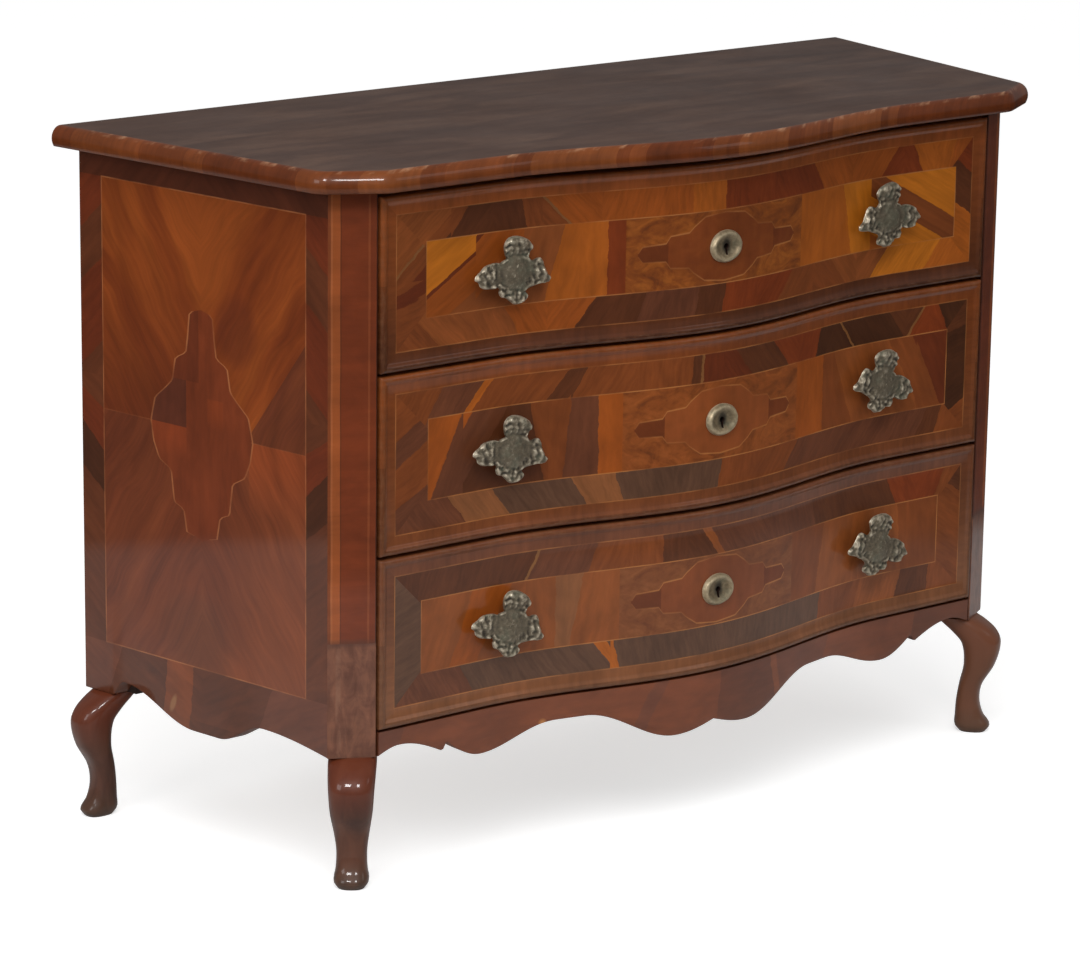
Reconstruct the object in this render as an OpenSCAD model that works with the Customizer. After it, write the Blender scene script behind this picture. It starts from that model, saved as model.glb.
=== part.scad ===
// Serpentine commode with three drawers, canted corners and short cabriole legs.
// The back of the case is the plane y = 0 and the front faces -Y, until centred() moves all to the middle.
// One curve, front_point(), carries the swell through top, drawer fronts, bottoms, rails and apron.

/* [Case] */
// Width of the canted corners, from the drawer fronts to the side panels
cant_w = 48; // [40:1:62]
// How far each side flares out from the front corners to the back
side_flare = 65; // [44:1:88]
// Depth of the side panels, from the back to the canted corners
side_d = 390; // [350:5:440]
// Depth of the canted corners
cant_d = 28; // [24:1:34]
// Thickness of the side panels
side_t = 20; // [16:1:24]
// Thickness of the back boards
back_t = 12; // [9:1:15]
// Number of back boards
back_board_count = 5; // [3:1:8]
// Width and depth of the rear posts
rear_post = 48; // [40:1:54]
// Depth of the front posts behind the cants
front_post_d = 38; // [30:1:46]
// Thickness of the board under the lowest drawer
bottom_t = 16; // [12:1:20]

/* [Serpentine front] */
// How far the middle of the front swells forward
swell = 46; // [30:1:58]
// Width of the swell across the front
swell_w = 620; // [540:10:720]
// Width of the drawer fronts
drawer_w = 920; // [860:2:990]
// Thickness of the drawer fronts
front_t = 22; // [20:1:26]
// Width of the moulded edge round each drawer front
bead_w = 11; // [8:1:16]
// How far that edge stands proud of the veneered field
bead_proud = 3; // [2:0.5:5]

/* [Heights] */
// Height of the legs
leg_h = 150; // [135:5:165]
// Height of the apron above the legs
apron_h = 28; // [22:1:40]
// Height of the lowest drawer front
low_drawer_h = 196; // [170:2:220]
// Height of the middle drawer front
mid_drawer_h = 204; // [170:2:220]
// Height of the top drawer front
top_drawer_h = 197; // [170:2:220]
// Open joint between two drawer fronts
front_joint = 4; // [3:0.5:6]
// Height of the shadow gap between the top drawer and the top
reveal = 10; // [8:1:14]

/* [Top] */
// Thickness of the top
top_t = 24; // [20:1:30]
// Overhang of the top at the front and sides
top_over = 33; // [26:1:38]
// Overhang of the top at the back
top_back = 4; // [0:1:10]
// Width of the thumb moulding round the top
thumb_w = 12; // [8:1:16]

/* [Rails and runners] */
// Thickness of the rails between the drawers
rail_t = 18; // [16:1:20]
// Thickness of the rails above and below the drawers
end_rail_t = 20; // [18:1:22]
// Depth of the rails
rail_d = 65; // [55:1:80]
// Width of the runner under each drawer side
runner_w = 36; // [28:1:44]
// Section of the strips that guide the drawers
guide = 18; // [12:1:22]

/* [Drawer boxes] */
// How far the drawer fronts lap past the boxes at each side
box_lap = 10; // [6:1:14]
// Thickness of the drawer sides
box_side_t = 12; // [9:1:14]
// Thickness of the drawer backs
box_back_t = 10; // [8:1:14]
// Thickness of the drawer bottoms
box_bottom_t = 8; // [6:1:10]
// Space behind the drawer boxes
box_back_gap = 8; // [4:1:20]

/* [Pulls] */
// Distance from the middle of the front to each pull
pull_x = 288; // [240:2:330]
// Width of the cast pull
pull_w = 104; // [90:1:116]
// Height of the cast pull
pull_h = 78; // [66:1:90]
// Thickness of the cast pull at its shield
pull_t = 9; // [7:0.5:12]
// Height of the collar that holds the pull off the drawer
collar_h = 8; // [6:0.5:12]
// How far the left pulls have turned on their posts, top drawer first
left_turns = [4, 9, 14]; // [0:1:20]
// How far the right pulls have turned on their posts, top drawer first
right_turns = [0, 12, 12]; // [0:1:20]

/* [Locks] */
// Width of the lock cases
lock_w = 84; // [70:2:100]
// How far the lock cases reach below the keyholes
lock_below = 18; // [14:1:30]
// Thickness of the lock cases
lock_t = 14; // [12:1:18]
// Width of the bolts
bolt_w = 26; // [20:1:34]
// Travel of the bolts
bolt_travel = 10; // [6:1:12]
// Width of the oval keyhole plates
plate_w = 47; // [40:1:56]
// Height of the oval keyhole plates
plate_h = 38; // [34:1:46]

/* [Hidden] */
$fn = 48;
swell_steps = 28;        // chords on each half of the swell
thumb_steps = 5;         // rings down the thumb moulding
fit_gap = 0.3;           // running clearance
lip_gap = 0.4;           // drawer lip to rail and post
post_gap = 3;            // drawer front to corner post
block_w = 40;            // blocks glued behind the apron
block_d = 24;
block_h = 9;
box_gap = 2;             // drawer box to post
guide_gap = 0.8;         // drawer box to guide strip
front_drop = 7;          // drawer front below the floor its box runs on
lock_drop = 2;           // lock case below the rail above it
box_drop = 6;            // drawer side below the rail above it
lock_seat = 1;           // depth of the lock recess behind the middle of the front
seat = 0.15;             // pull hardware on the gently curved front
mortise_room = 0.5;      // room round a bolt in its mortise
key_r = 3.6;
key_slot = 3;
key_drop = 10;

front_d = side_d + cant_d;
cant_x = drawer_w / 2 + post_gap;
front_w = 2 * (cant_x + cant_w);
back_w = front_w + 2 * side_flare;
box_w = drawer_w - 2 * box_lap;
flare = atan(side_flare / side_d);
post_face_x = box_w / 2 + box_gap;
lip_y = -(front_d - front_t - lip_gap);
rail_back_y = -(front_d - front_t - rail_d);
post_back_y = -(side_d - front_post_d);
box_back_y = -(back_t + box_back_gap);
rear_post_x = side_x(-back_t, side_t) + rear_post;

front_hs = [top_drawer_h, mid_drawer_h, low_drawer_h];
low_z = leg_h + apron_h + front_joint - 1;
mid_z = low_z + low_drawer_h + front_joint;
top_z = mid_z + mid_drawer_h + front_joint;
front_zs = [top_z, mid_z, low_z];
case_top_z = top_z + top_drawer_h + reveal;
height = case_top_z + top_t;
// Rails lie behind the joints between the fronts, and the fronts lap over them
rail_zs = [top_z - front_joint / 2 - rail_t / 2, mid_z - front_joint / 2 - rail_t / 2];
bottom_rail_z = low_z + front_drop - end_rail_t;
floor_zs = [rail_zs[0] + rail_t, rail_zs[1] + rail_t, bottom_rail_z + end_rail_t];
ceiling_zs = [case_top_z - end_rail_t, rail_zs[0], rail_zs[1]];

// Scalloped edges: share of the length, height above the legs, and 1 where the curve meets in a point
apron_keys = [[0, -30, 1], [0.12, -41, 0], [0.38, -1, 0], [0.46, -1, 0], [0.68, -25, 0],
              [0.787, -2, 1], [0.802, -11, 1], [0.935, 8, 0], [1, 0, 1]];
side_keys = [[0, 0, 0], [0.12, 0, 1], [0.165, 19, 0], [0.46, -15, 0], [0.56, -15, 0], [0.74, 12, 0], [1, 0, 1]];
scallop_steps = 10;

// Leg stations: share of the height, inner face, outer face and width
leg_stations = [[0, -14, 19, 31], [0.05, -20, 24, 40], [0.14, -20, 15, 36], [0.27, -19, 10, 35],
                [0.41, -16, 13, 40], [0.59, -11, 28, 48], [0.77, -15, 34, 52], [0.87, -28, 28, 54],
                [0.95, -42, 14, 55], [1, -50, 1, 54]];
leg_rings = 16;
leg_sides = 20;
front_leg_turn = 40;     // front legs point this far out from straight ahead
rear_leg_width = 0.82;   // rear legs are narrower than the front ones
rear_leg_y = -24;
tenon_r = 9;
tenon_h = 36;
front_tenon = [0, 24];
rear_tenon = [6, 36];

pin_r = 3.5;
pin_gap = 0.05;
pin_h = 5.5;
boss_r = 8.5;
boss_h = 6;
collar_r = 9;
shank_r = 4;
washer_r = 10;
washer_h = 2;
nut_r = 7.5;
nut_h = 6;

veneer = [0.48, 0.24, 0.11];
top_brown = [0.34, 0.26, 0.22];
leg_brown = [0.36, 0.22, 0.15];
pine = [0.72, 0.56, 0.36];
iron = [0.3, 0.29, 0.28];
bronze = [0.42, 0.38, 0.31];

// The serpentine front: a raised cosine swell between two straight flanks
function bell(x) = abs(x) < swell_w / 2 ? (1 + cos(360 * x / swell_w)) / 2 : 0;
function bell_slope(x) = abs(x) < swell_w / 2 ? swell * PI / swell_w * sin(360 * x / swell_w) : 0;
function front_point(x, out) =
    let (m = bell_slope(x), n = sqrt(1 + m * m))
    [x + out * m / n, -(front_d + swell * bell(x)) - out / n];
function swell_line(out) = [for (k = [-swell_steps : swell_steps]) front_point(k * swell_w / 2 / swell_steps, out)];
function front_line(half, out) = concat([[-half, -front_d - out]], swell_line(out), [[half, -front_d - out]]);
function reversed(points) = [for (i = [len(points) - 1 : -1 : 0]) points[i]];
function mirrored(points) = [for (p = reversed(points)) [-p[0], p[1]]];

// x of the left side at a depth, moved inward by a thickness measured square to the panel
function side_x(y, inset) = -back_w / 2 - y * tan(flare) + inset / cos(flare);

// Curve through turning points: level at those marked 0, meeting in a point at those marked 1
function eased(a, b, u) =
    a[2] == 0 && b[2] == 0 ? (1 - cos(180 * u)) / 2 : a[2] == 1 && b[2] == 0 ? sin(90 * u) : 1 - cos(90 * u);
function scallop(keys, share) =
    let (i = max([for (k = [0 : len(keys) - 2]) if (share >= keys[k][0]) k]), a = keys[i], b = keys[i + 1])
    a[1] + (b[1] - a[1]) * eased(a, b, (share - a[0]) / (b[0] - a[0]));

module centred() {
    translate([0, (front_d + swell + top_over - top_back) / 2, 0]) children();
}

module both_sides() {
    children();
    mirror([1, 0, 0]) children();
}

module plank(z0, z1) {
    translate([0, 0, z0]) linear_extrude(z1 - z0) children();
}

// Curved board that follows the front, between two distances out from it
module serpentine(half, out_front, out_back, z0, z1) {
    plank(z0, z1) polygon(concat(front_line(half, out_front), reversed(front_line(half, out_back))));
}

// Joins rings of points, counter-clockwise and stacked upwards, into one closed solid
module loft(rings) {
    n = len(rings[0]);
    m = len(rings);
    walls = [for (j = [0 : m - 2], i = [0 : n - 1])
             let (a = j * n + i, b = j * n + (i + 1) % n) each [[a, a + n, b + n], [a, b + n, b]]];
    polyhedron([for (r = rings) each r],
               concat(walls, [[for (i = [0 : n - 1]) i]], [[for (i = [n - 1 : -1 : 0]) (m - 1) * n + i]]));
}

// Top: outline of the case pushed out, with round corners over the cants
function corner_arc(centre, from, to, steps, out) =
    [for (k = [0 : steps]) let (a = from + (to - from) * k / steps) centre + out * [cos(a), sin(a)]];
function top_ring(out, z) =
    let (cant_a = 180 + atan2(cant_w, cant_d),
         half = concat([[side_x(top_back, -out), top_back]],
                       corner_arc([-front_w / 2, -side_d], 180 + flare, cant_a, 6, out),
                       corner_arc([-cant_x, -front_d], cant_a, 270, 3, out)))
    [for (p = concat(half, swell_line(out), mirrored(half))) [p[0], p[1], z]];

module top_board() {
    thumb_h = top_t * 0.6;
    foot_in = top_t * 0.15;
    color(top_brown) centred() loft(concat(
        [top_ring(top_over - foot_in, case_top_z), top_ring(top_over - foot_in * 0.3, case_top_z + foot_in)],
        [for (k = [thumb_steps : -1 : 0]) let (a = 90 * k / thumb_steps)
         top_ring(top_over - thumb_w * (1 - sin(a)), height - thumb_h * (1 - cos(a)))]));
}

// Carcass
function edge_shares(keys) =
    concat([for (k = [0 : len(keys) - 2], j = [0 : scallop_steps - 1])
            keys[k][0] + (keys[k + 1][0] - keys[k][0]) * j / scallop_steps], [1]);

module side_panel() {
    lower = [for (s = edge_shares(side_keys)) [-side_d * s, leg_h + scallop(side_keys, s)]];
    intersection() {
        plank(0, case_top_z) polygon([[side_x(0, 0), 0], [side_x(0, side_t), 0],
                                      [side_x(-side_d, side_t), -side_d], [-front_w / 2, -side_d]]);
        rotate([90, 0, 90]) translate([0, 0, -back_w]) linear_extrude(back_w)
            polygon(concat(lower, [[-side_d, case_top_z], [0, case_top_z]]));
    }
}

module back_boards() {
    inner = -side_x(0, side_t) - back_t * tan(flare) - fit_gap;
    board_w = 2 * inner / back_board_count;
    color(pine) centred()
        for (k = [0 : back_board_count - 1])
            translate([-inner + k * board_w, -back_t, leg_h])
                cube([board_w - fit_gap, back_t, case_top_z - leg_h]);
}

module bottom_board() {
    half = [[rear_post_x, -back_t], [rear_post_x, -back_t - rear_post],
            [side_x(-back_t - rear_post, side_t), -back_t - rear_post],
            [side_x(post_back_y, side_t), post_back_y], [-post_face_x, post_back_y], [-post_face_x, rail_back_y]];
    color(pine) centred() plank(floor_zs[2] - bottom_t, floor_zs[2]) polygon(concat(half, mirrored(half)));
}

module corner_post() {
    difference() {
        plank(leg_h, case_top_z)
            polygon([[-cant_x, -front_d], [-cant_x, lip_y], [-post_face_x, lip_y], [-post_face_x, post_back_y],
                     [side_x(post_back_y, side_t), post_back_y], [side_x(-side_d, side_t), -side_d],
                     [-front_w / 2, -side_d]]);
        front_leg_place() mortise(front_tenon);
    }
}

module rear_post() {
    y0 = -back_t - rear_post;
    difference() {
        plank(leg_h, case_top_z)
            polygon([[side_x(-back_t, side_t), -back_t], [rear_post_x, -back_t], [rear_post_x, y0],
                     [side_x(y0, side_t), y0]]);
        rear_leg_place() mortise(rear_tenon);
    }
}

module rail(z0, thick) {
    plank(z0, z0 + thick)
        polygon(concat(front_line(post_face_x, -front_t - lip_gap),
                       [[post_face_x, rail_back_y], [-post_face_x, rail_back_y]]));
}

// Mortise in the underside of a rail that takes the bolt of the drawer below
module bolt_mortise(ceiling_z) {
    translate([-bolt_w / 2 - mortise_room, bolt_y() - bolt_t() / 2 - mortise_room, ceiling_z - 1])
        cube([bolt_w + 2 * mortise_room, bolt_t() + 2 * mortise_room, bolt_travel + 1]);
}

module front_apron() {
    lower = [for (s = edge_shares(apron_keys)) [s * drawer_w / 2, leg_h + scallop(apron_keys, s)]];
    left = [for (i = [len(lower) - 1 : -1 : 1]) [-lower[i][0], lower[i][1]]];
    color(veneer) centred() intersection() {
        serpentine(drawer_w / 2, 0, -front_t - lip_gap, 0, case_top_z);
        rotate([90, 0, 0]) linear_extrude(2 * front_d)
            polygon(concat(left, lower, [[drawer_w / 2, leg_h + apron_h], [-drawer_w / 2, leg_h + apron_h]]));
    }
}

module back_rails() {
    w = -2 * rear_post_x;
    spans = [[leg_h, floor_zs[2] - bottom_t], [case_top_z - end_rail_t, case_top_z]];
    color(pine) centred() for (span = spans)
        translate([-w / 2, -back_t - end_rail_t, span[0]]) cube([w, end_rail_t, span[1] - span[0]]);
}

// Cabriole legs: superellipse rings lofted through the stations
function station(share) =
    let (s = leg_stations,
         i = min(len(s) - 2, max([for (k = [0 : len(s) - 1]) if (share >= s[k][0]) k])),
         a = s[max(0, i - 1)], b = s[i], c = s[i + 1], d = s[min(len(s) - 1, i + 2)],
         u = (share - b[0]) / (c[0] - b[0]), w = c[0] - b[0],
         mb = (c - a) / (c[0] - a[0]) * w, mc = (d - b) / (d[0] - b[0]) * w)
    (2 * pow(u, 3) - 3 * u * u + 1) * b + (pow(u, 3) - 2 * u * u + u) * mb
    + (3 * u * u - 2 * pow(u, 3)) * c + (pow(u, 3) - u * u) * mc;
function squared(v) = sign(v) * pow(abs(v), 0.76);
function leg_ring(share, narrow) =
    let (s = station(share))
    [for (k = [0 : leg_sides - 1]) let (a = 360 * (k + 0.5) / leg_sides)
     [squared(cos(a)) * s[3] / 2 * narrow, squared(sin(a)) * (s[2] - s[1]) / 2 - (s[1] + s[2]) / 2, share * leg_h]];

// Leg pointing to -Y, with a round tenon at a given place in its top
module leg(narrow, tenon) {
    loft([for (k = [0 : leg_rings]) leg_ring(k / leg_rings, narrow)]);
    translate([tenon[0], tenon[1], leg_h - 8]) cylinder(r = tenon_r, h = tenon_h + 8);
}

module mortise(tenon) {
    translate([tenon[0], tenon[1], leg_h - 1]) cylinder(r = tenon_r + fit_gap, h = tenon_h + 1 + fit_gap);
}

module front_leg_place() {
    translate([-(front_w / 2 + cant_x) / 2, -(side_d + front_d) / 2, 0]) rotate(-front_leg_turn) children();
}

module rear_leg_place() {
    translate([side_x(rear_leg_y, 0) - 2, rear_leg_y, 0]) rotate(-90) children();
}

// Runners under the drawer sides, with a guide strip on each
module runner_outline() {
    polygon([[-box_w / 2 + runner_w, rail_back_y], [-box_w / 2 + runner_w, -back_t], [rear_post_x, -back_t],
             [rear_post_x, -back_t - rear_post], [side_x(-back_t - rear_post, side_t), -back_t - rear_post],
             [side_x(post_back_y, side_t), post_back_y], [-post_face_x, post_back_y],
             [-post_face_x, rail_back_y]]);
}

module guide_strip(z) {
    translate([-box_w / 2 - guide_gap - guide, post_back_y, z]) cube([guide, -post_back_y - back_t - rear_post, guide]);
}

module runners(z) {
    both_sides() {
        plank(z, z + rail_t) runner_outline();
        guide_strip(z + rail_t);
    }
}

module floor_guides() {
    color(pine) centred() both_sides() guide_strip(floor_zs[2]);
}

module kickers() {
    color(pine) centred() both_sides()
        translate([-box_w / 2, rail_back_y, case_top_z - end_rail_t])
            cube([runner_w, -rail_back_y - back_t - rear_post, end_rail_t]);
}

module glue_blocks() {
    color(pine) centred() both_sides() for (share = [0.4, 0.915])
        intersection() {
            serpentine(post_face_x, -front_t - lip_gap, -front_t - lip_gap - block_d, 0, bottom_rail_z);
            translate([-share * drawer_w / 2 - block_w / 2, -2 * front_d, bottom_rail_z - block_h])
                cube([block_w, 2 * front_d, block_h + 1]);
        }
}

// Drawers, numbered 0 to 2 from the top
module drawer_front(i) {
    half = drawer_w / 2;
    z0 = front_zs[i];
    z1 = z0 + front_hs[i];
    step = bead_w * 0.2;
    difference() {
        union() {
            serpentine(half, bead_proud * 0.6, -front_t, z0, z1);
            serpentine(half - step, bead_proud, -front_t, z0 + step, z1 - step);
        }
        serpentine(half - bead_w, bead_proud + 1, 0, z0 + bead_w, z1 - bead_w);
        translate([-lock_w / 2 - fit_gap, lock_y(), lock_z(i)])
            cube([lock_w + 2 * fit_gap, front_t, z1 - lock_z(i) + 1]);
        keyhole(i, -2 * front_d);
        for (side = [-1, 1]) pull_place(i, side) rotate([90, 0, 0])
            translate([0, 0, -front_t - 5]) cylinder(r = shank_r + fit_gap / 2, h = front_t + 10);
    }
}

module drawer_side(i) {
    z0 = floor_zs[i] + fit_gap;
    depth = front_d - front_t + box_back_y;
    translate([-box_w / 2, box_back_y - depth, z0]) cube([box_side_t, depth, ceiling_zs[i] - box_drop - z0]);
}

function bottom_z(i) = floor_zs[i] + fit_gap + 3;

module drawer_back(i) {
    z0 = bottom_z(i) + box_bottom_t;
    w = box_w - 2 * box_side_t;
    translate([-w / 2, box_back_y - box_back_t, z0]) cube([w, box_back_t, ceiling_zs[i] - 2 * box_drop - z0]);
}

module drawer_bottom(i) {
    half = box_w / 2 - box_side_t;
    plank(bottom_z(i), bottom_z(i) + box_bottom_t)
        polygon(concat(front_line(half, -front_t), [[half, box_back_y], [-half, box_back_y]]));
}

// Locks: a flat case let into the back of the front, with a bolt that rises into the rail
function lock_y() = -(front_d + swell - front_t + lock_seat);
function bolt_t() = lock_t * 0.42;
function bolt_y() = lock_y() + lock_t * 0.64;
function bolt_h(i) = (lock_top(i) - lock_z(i)) * 0.45;
function lock_top(i) = ceiling_zs[i] - lock_drop;
function lock_z(i) = front_zs[i] + front_hs[i] / 2 - lock_below;

module keyhole(i, y) {
    z = front_zs[i] + front_hs[i] / 2;
    translate([0, y, z]) rotate([-90, 0, 0]) {
        cylinder(r = key_r, h = lock_y() + lock_t / 3 - y);
        translate([-key_slot / 2, 0, 0]) cube([key_slot, key_drop, lock_y() + lock_t / 3 - y]);
    }
}

module lock_case(i) {
    difference() {
        translate([-lock_w / 2, lock_y(), lock_z(i)]) cube([lock_w, lock_t, lock_top(i) - lock_z(i)]);
        translate([-bolt_w / 2 - fit_gap, bolt_y() - bolt_t() / 2 - fit_gap, lock_top(i) - bolt_h(i) - fit_gap])
            cube([bolt_w + 2 * fit_gap, bolt_t() + 2 * fit_gap, bolt_h(i) + 1]);
        keyhole(i, -2 * front_d);
    }
}

module lock_bolt(i) {
    translate([-bolt_w / 2, bolt_y() - bolt_t() / 2, lock_top(i) - bolt_h(i)])
        cube([bolt_w, bolt_t(), bolt_h(i)]);
}

// Oval plate, dished inside a rolled rim: distance in from its edge and height of each ring
function plate_ring(inset, z) =
    [for (k = [0 : 39]) let (a = 9 * k) [(plate_w / 2 - inset) * cos(a), (plate_h / 2 - inset) * sin(a), z]];

module escutcheon(i) {
    profile = [[0, 0], [0, 2], [2, 5], [4, 6], [6.5, 5], [9, 2.5], [13, 1.8]];
    difference() {
        translate([0, -(front_d + swell), front_zs[i] + front_hs[i] / 2]) rotate([90, 0, 0])
            loft([for (p = profile) plate_ring(p[0], p[1])]);
        keyhole(i, -2 * front_d);
    }
}

// Pulls: local +Y points into the drawer front, square to its surface
module pull_place(i, side) {
    p = front_point(side * pull_x, 0);
    translate([p[0], p[1], front_zs[i] + front_hs[i] / 2]) rotate(atan(bell_slope(side * pull_x))) children();
}

module pull_posts(i) {
    for (side = [-1, 1]) pull_place(i, side) rotate([90, 0, 0]) {
        translate([0, 0, seat]) cylinder(r = collar_r, h = collar_h - seat);
        cylinder(r = pin_r, h = collar_h + pin_h);
        translate([0, 0, -front_t - washer_h]) cylinder(r = shank_r, h = front_t + washer_h + seat);
        translate([0, 0, -front_t - seat - washer_h]) cylinder(r = washer_r, h = washer_h);
        translate([0, 0, -front_t - seat - washer_h - nut_h]) cylinder(r = nut_r, h = nut_h, $fn = 6);
    }
}

// Outline of the left cast pull about its post, for a casting 109 wide and 79.5 high
pull_outline = [[46.8, 2.6], [44, 9.5], [39.5, 14], [34, 13.6], [29, 11.4], [24.3, 12.8], [21.8, 17.2],
                [24.6, 22.9], [26.3, 28.6], [22.1, 34.1], [15.6, 37.3], [7.4, 39.6], [0.5, 40.3], [-5.1, 39.6],
                [-10.6, 37], [-14.2, 31.6], [-14.3, 25.1], [-12.1, 18.6], [-9.9, 14.6], [-14.4, 12],
                [-18.8, 9.6], [-25.6, 10], [-33.5, 8.7], [-41.2, 5.8], [-46.4, 0.5], [-52.2, -5], [-53, -9.8],
                [-47.8, -12.6], [-45.2, -17], [-39.4, -20], [-33.7, -20.4], [-27, -19.8], [-21.4, -18.4],
                [-17.2, -21], [-17.5, -25.5], [-13.7, -30.3], [-7.5, -31.4], [-2.1, -34.5], [4, -38.6],
                [10.8, -39.2], [16.3, -36.6], [22.6, -34.6], [24.2, -30.6], [20.6, -26.4], [22.4, -22.6],
                [27.8, -20], [34.5, -18], [41.2, -16], [49.3, -15.6], [55.6, -13.5], [55.8, -9], [50, -4]];
function pull_ring(side, share, lift) =
    let (ring = [for (p = pull_outline) [p[0] * pull_w / 109 * share, p[1] * pull_h / 79.5 * share, lift]])
    side < 0 ? ring : [for (p = reversed(ring)) [-p[0], p[1], p[2]]];

module pull(i, side) {
    turn = side < 0 ? left_turns[i] : right_turns[i];
    back = collar_h + fit_gap;
    plate = back + boss_h;
    // Share of the outline and share of the thickness, from the back face to the shield
    steps = [[0.93, 0], [1, 0.3], [0.95, 0.72], [0.78, 0.5], [0.5, 0.85], [0.2, 1]];
    pull_place(i, side) rotate([90, 0, 0]) rotate(-turn) difference() {
        union() {
            translate([0, 0, back]) cylinder(r = boss_r, h = boss_h + 1);
            loft([for (s = steps) pull_ring(side, s[0], plate + s[1] * pull_t)]);
        }
        translate([0, 0, back - 1]) cylinder(r = pin_r + pin_gap, h = boss_h + 1);
    }
}

module side_panel_left() { color(veneer) centred() side_panel(); }
module side_panel_right() { color(veneer) centred() mirror([1, 0, 0]) side_panel(); }
module corner_post_left() { color(veneer) centred() corner_post(); }
module corner_post_right() { color(veneer) centred() mirror([1, 0, 0]) corner_post(); }
module rear_post_left() { color(pine) centred() rear_post(); }
module rear_post_right() { color(pine) centred() mirror([1, 0, 0]) rear_post(); }
module top_rail() {
    color(pine) centred() difference() {
        rail(ceiling_zs[0], end_rail_t);
        bolt_mortise(ceiling_zs[0]);
    }
}
module upper_rail() {
    color(pine) centred() difference() {
        rail(rail_zs[0], rail_t);
        bolt_mortise(ceiling_zs[1]);
    }
}
module lower_rail() {
    color(pine) centred() difference() {
        rail(rail_zs[1], rail_t);
        bolt_mortise(ceiling_zs[2]);
    }
}
module bottom_rail() { color(pine) centred() rail(bottom_rail_z, end_rail_t); }
module leg_front_left() { color(leg_brown) centred() front_leg_place() leg(1, front_tenon); }
module leg_front_right() { color(leg_brown) centred() mirror([1, 0, 0]) front_leg_place() leg(1, front_tenon); }
module leg_rear_left() { color(leg_brown) centred() rear_leg_place() leg(rear_leg_width, rear_tenon); }
module leg_rear_right() {
    color(leg_brown) centred() mirror([1, 0, 0]) rear_leg_place() leg(rear_leg_width, rear_tenon);
}
module upper_runners() { color(pine) centred() runners(rail_zs[0]); }
module lower_runners() { color(pine) centred() runners(rail_zs[1]); }

module top_drawer_front() { color(veneer) centred() drawer_front(0); }
module top_drawer_side_left() { color(pine) centred() drawer_side(0); }
module top_drawer_side_right() { color(pine) centred() mirror([1, 0, 0]) drawer_side(0); }
module top_drawer_back() { color(pine) centred() drawer_back(0); }
module top_drawer_bottom() { color(pine) centred() drawer_bottom(0); }
module top_lock_case() { color(iron) centred() lock_case(0); }
module top_lock_bolt() { color(iron) centred() lock_bolt(0); }
module top_escutcheon() { color(bronze) centred() escutcheon(0); }
module top_pull_posts() { color(bronze) centred() pull_posts(0); }
module top_pull_left() { color(bronze) centred() pull(0, -1); }
module top_pull_right() { color(bronze) centred() pull(0, 1); }

module middle_drawer_front() { color(veneer) centred() drawer_front(1); }
module middle_drawer_side_left() { color(pine) centred() drawer_side(1); }
module middle_drawer_side_right() { color(pine) centred() mirror([1, 0, 0]) drawer_side(1); }
module middle_drawer_back() { color(pine) centred() drawer_back(1); }
module middle_drawer_bottom() { color(pine) centred() drawer_bottom(1); }
module middle_lock_case() { color(iron) centred() lock_case(1); }
module middle_lock_bolt() { color(iron) centred() lock_bolt(1); }
module middle_escutcheon() { color(bronze) centred() escutcheon(1); }
module middle_pull_posts() { color(bronze) centred() pull_posts(1); }
module middle_pull_left() { color(bronze) centred() pull(1, -1); }
module middle_pull_right() { color(bronze) centred() pull(1, 1); }

module bottom_drawer_front() { color(veneer) centred() drawer_front(2); }
module bottom_drawer_side_left() { color(pine) centred() drawer_side(2); }
module bottom_drawer_side_right() { color(pine) centred() mirror([1, 0, 0]) drawer_side(2); }
module bottom_drawer_back() { color(pine) centred() drawer_back(2); }
module bottom_drawer_bottom() { color(pine) centred() drawer_bottom(2); }
module bottom_lock_case() { color(iron) centred() lock_case(2); }
module bottom_lock_bolt() { color(iron) centred() lock_bolt(2); }
module bottom_escutcheon() { color(bronze) centred() escutcheon(2); }
module bottom_pull_posts() { color(bronze) centred() pull_posts(2); }
module bottom_pull_left() { color(bronze) centred() pull(2, -1); }
module bottom_pull_right() { color(bronze) centred() pull(2, 1); }

top_board();
side_panel_left();
side_panel_right();
back_boards();
bottom_board();
corner_post_left();
corner_post_right();
rear_post_left();
rear_post_right();
top_rail();
upper_rail();
lower_rail();
bottom_rail();
front_apron();
back_rails();
leg_front_left();
leg_front_right();
leg_rear_left();
leg_rear_right();
upper_runners();
lower_runners();
floor_guides();
kickers();
glue_blocks();
top_drawer_front();
top_drawer_side_left();
top_drawer_side_right();
top_drawer_back();
top_drawer_bottom();
top_lock_case();
top_lock_bolt();
top_escutcheon();
top_pull_posts();
top_pull_left();
top_pull_right();
middle_drawer_front();
middle_drawer_side_left();
middle_drawer_side_right();
middle_drawer_back();
middle_drawer_bottom();
middle_lock_case();
middle_lock_bolt();
middle_escutcheon();
middle_pull_posts();
middle_pull_left();
middle_pull_right();
bottom_drawer_front();
bottom_drawer_side_left();
bottom_drawer_side_right();
bottom_drawer_back();
bottom_drawer_bottom();
bottom_lock_case();
bottom_lock_bolt();
bottom_escutcheon();
bottom_pull_posts();
bottom_pull_left();
bottom_pull_right();
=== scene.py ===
from math import atan, atan2, copysign, cos, degrees, exp, hypot, pi, radians, sin, tan
import bpy
from mathutils import Matrix, Vector, noise


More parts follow.
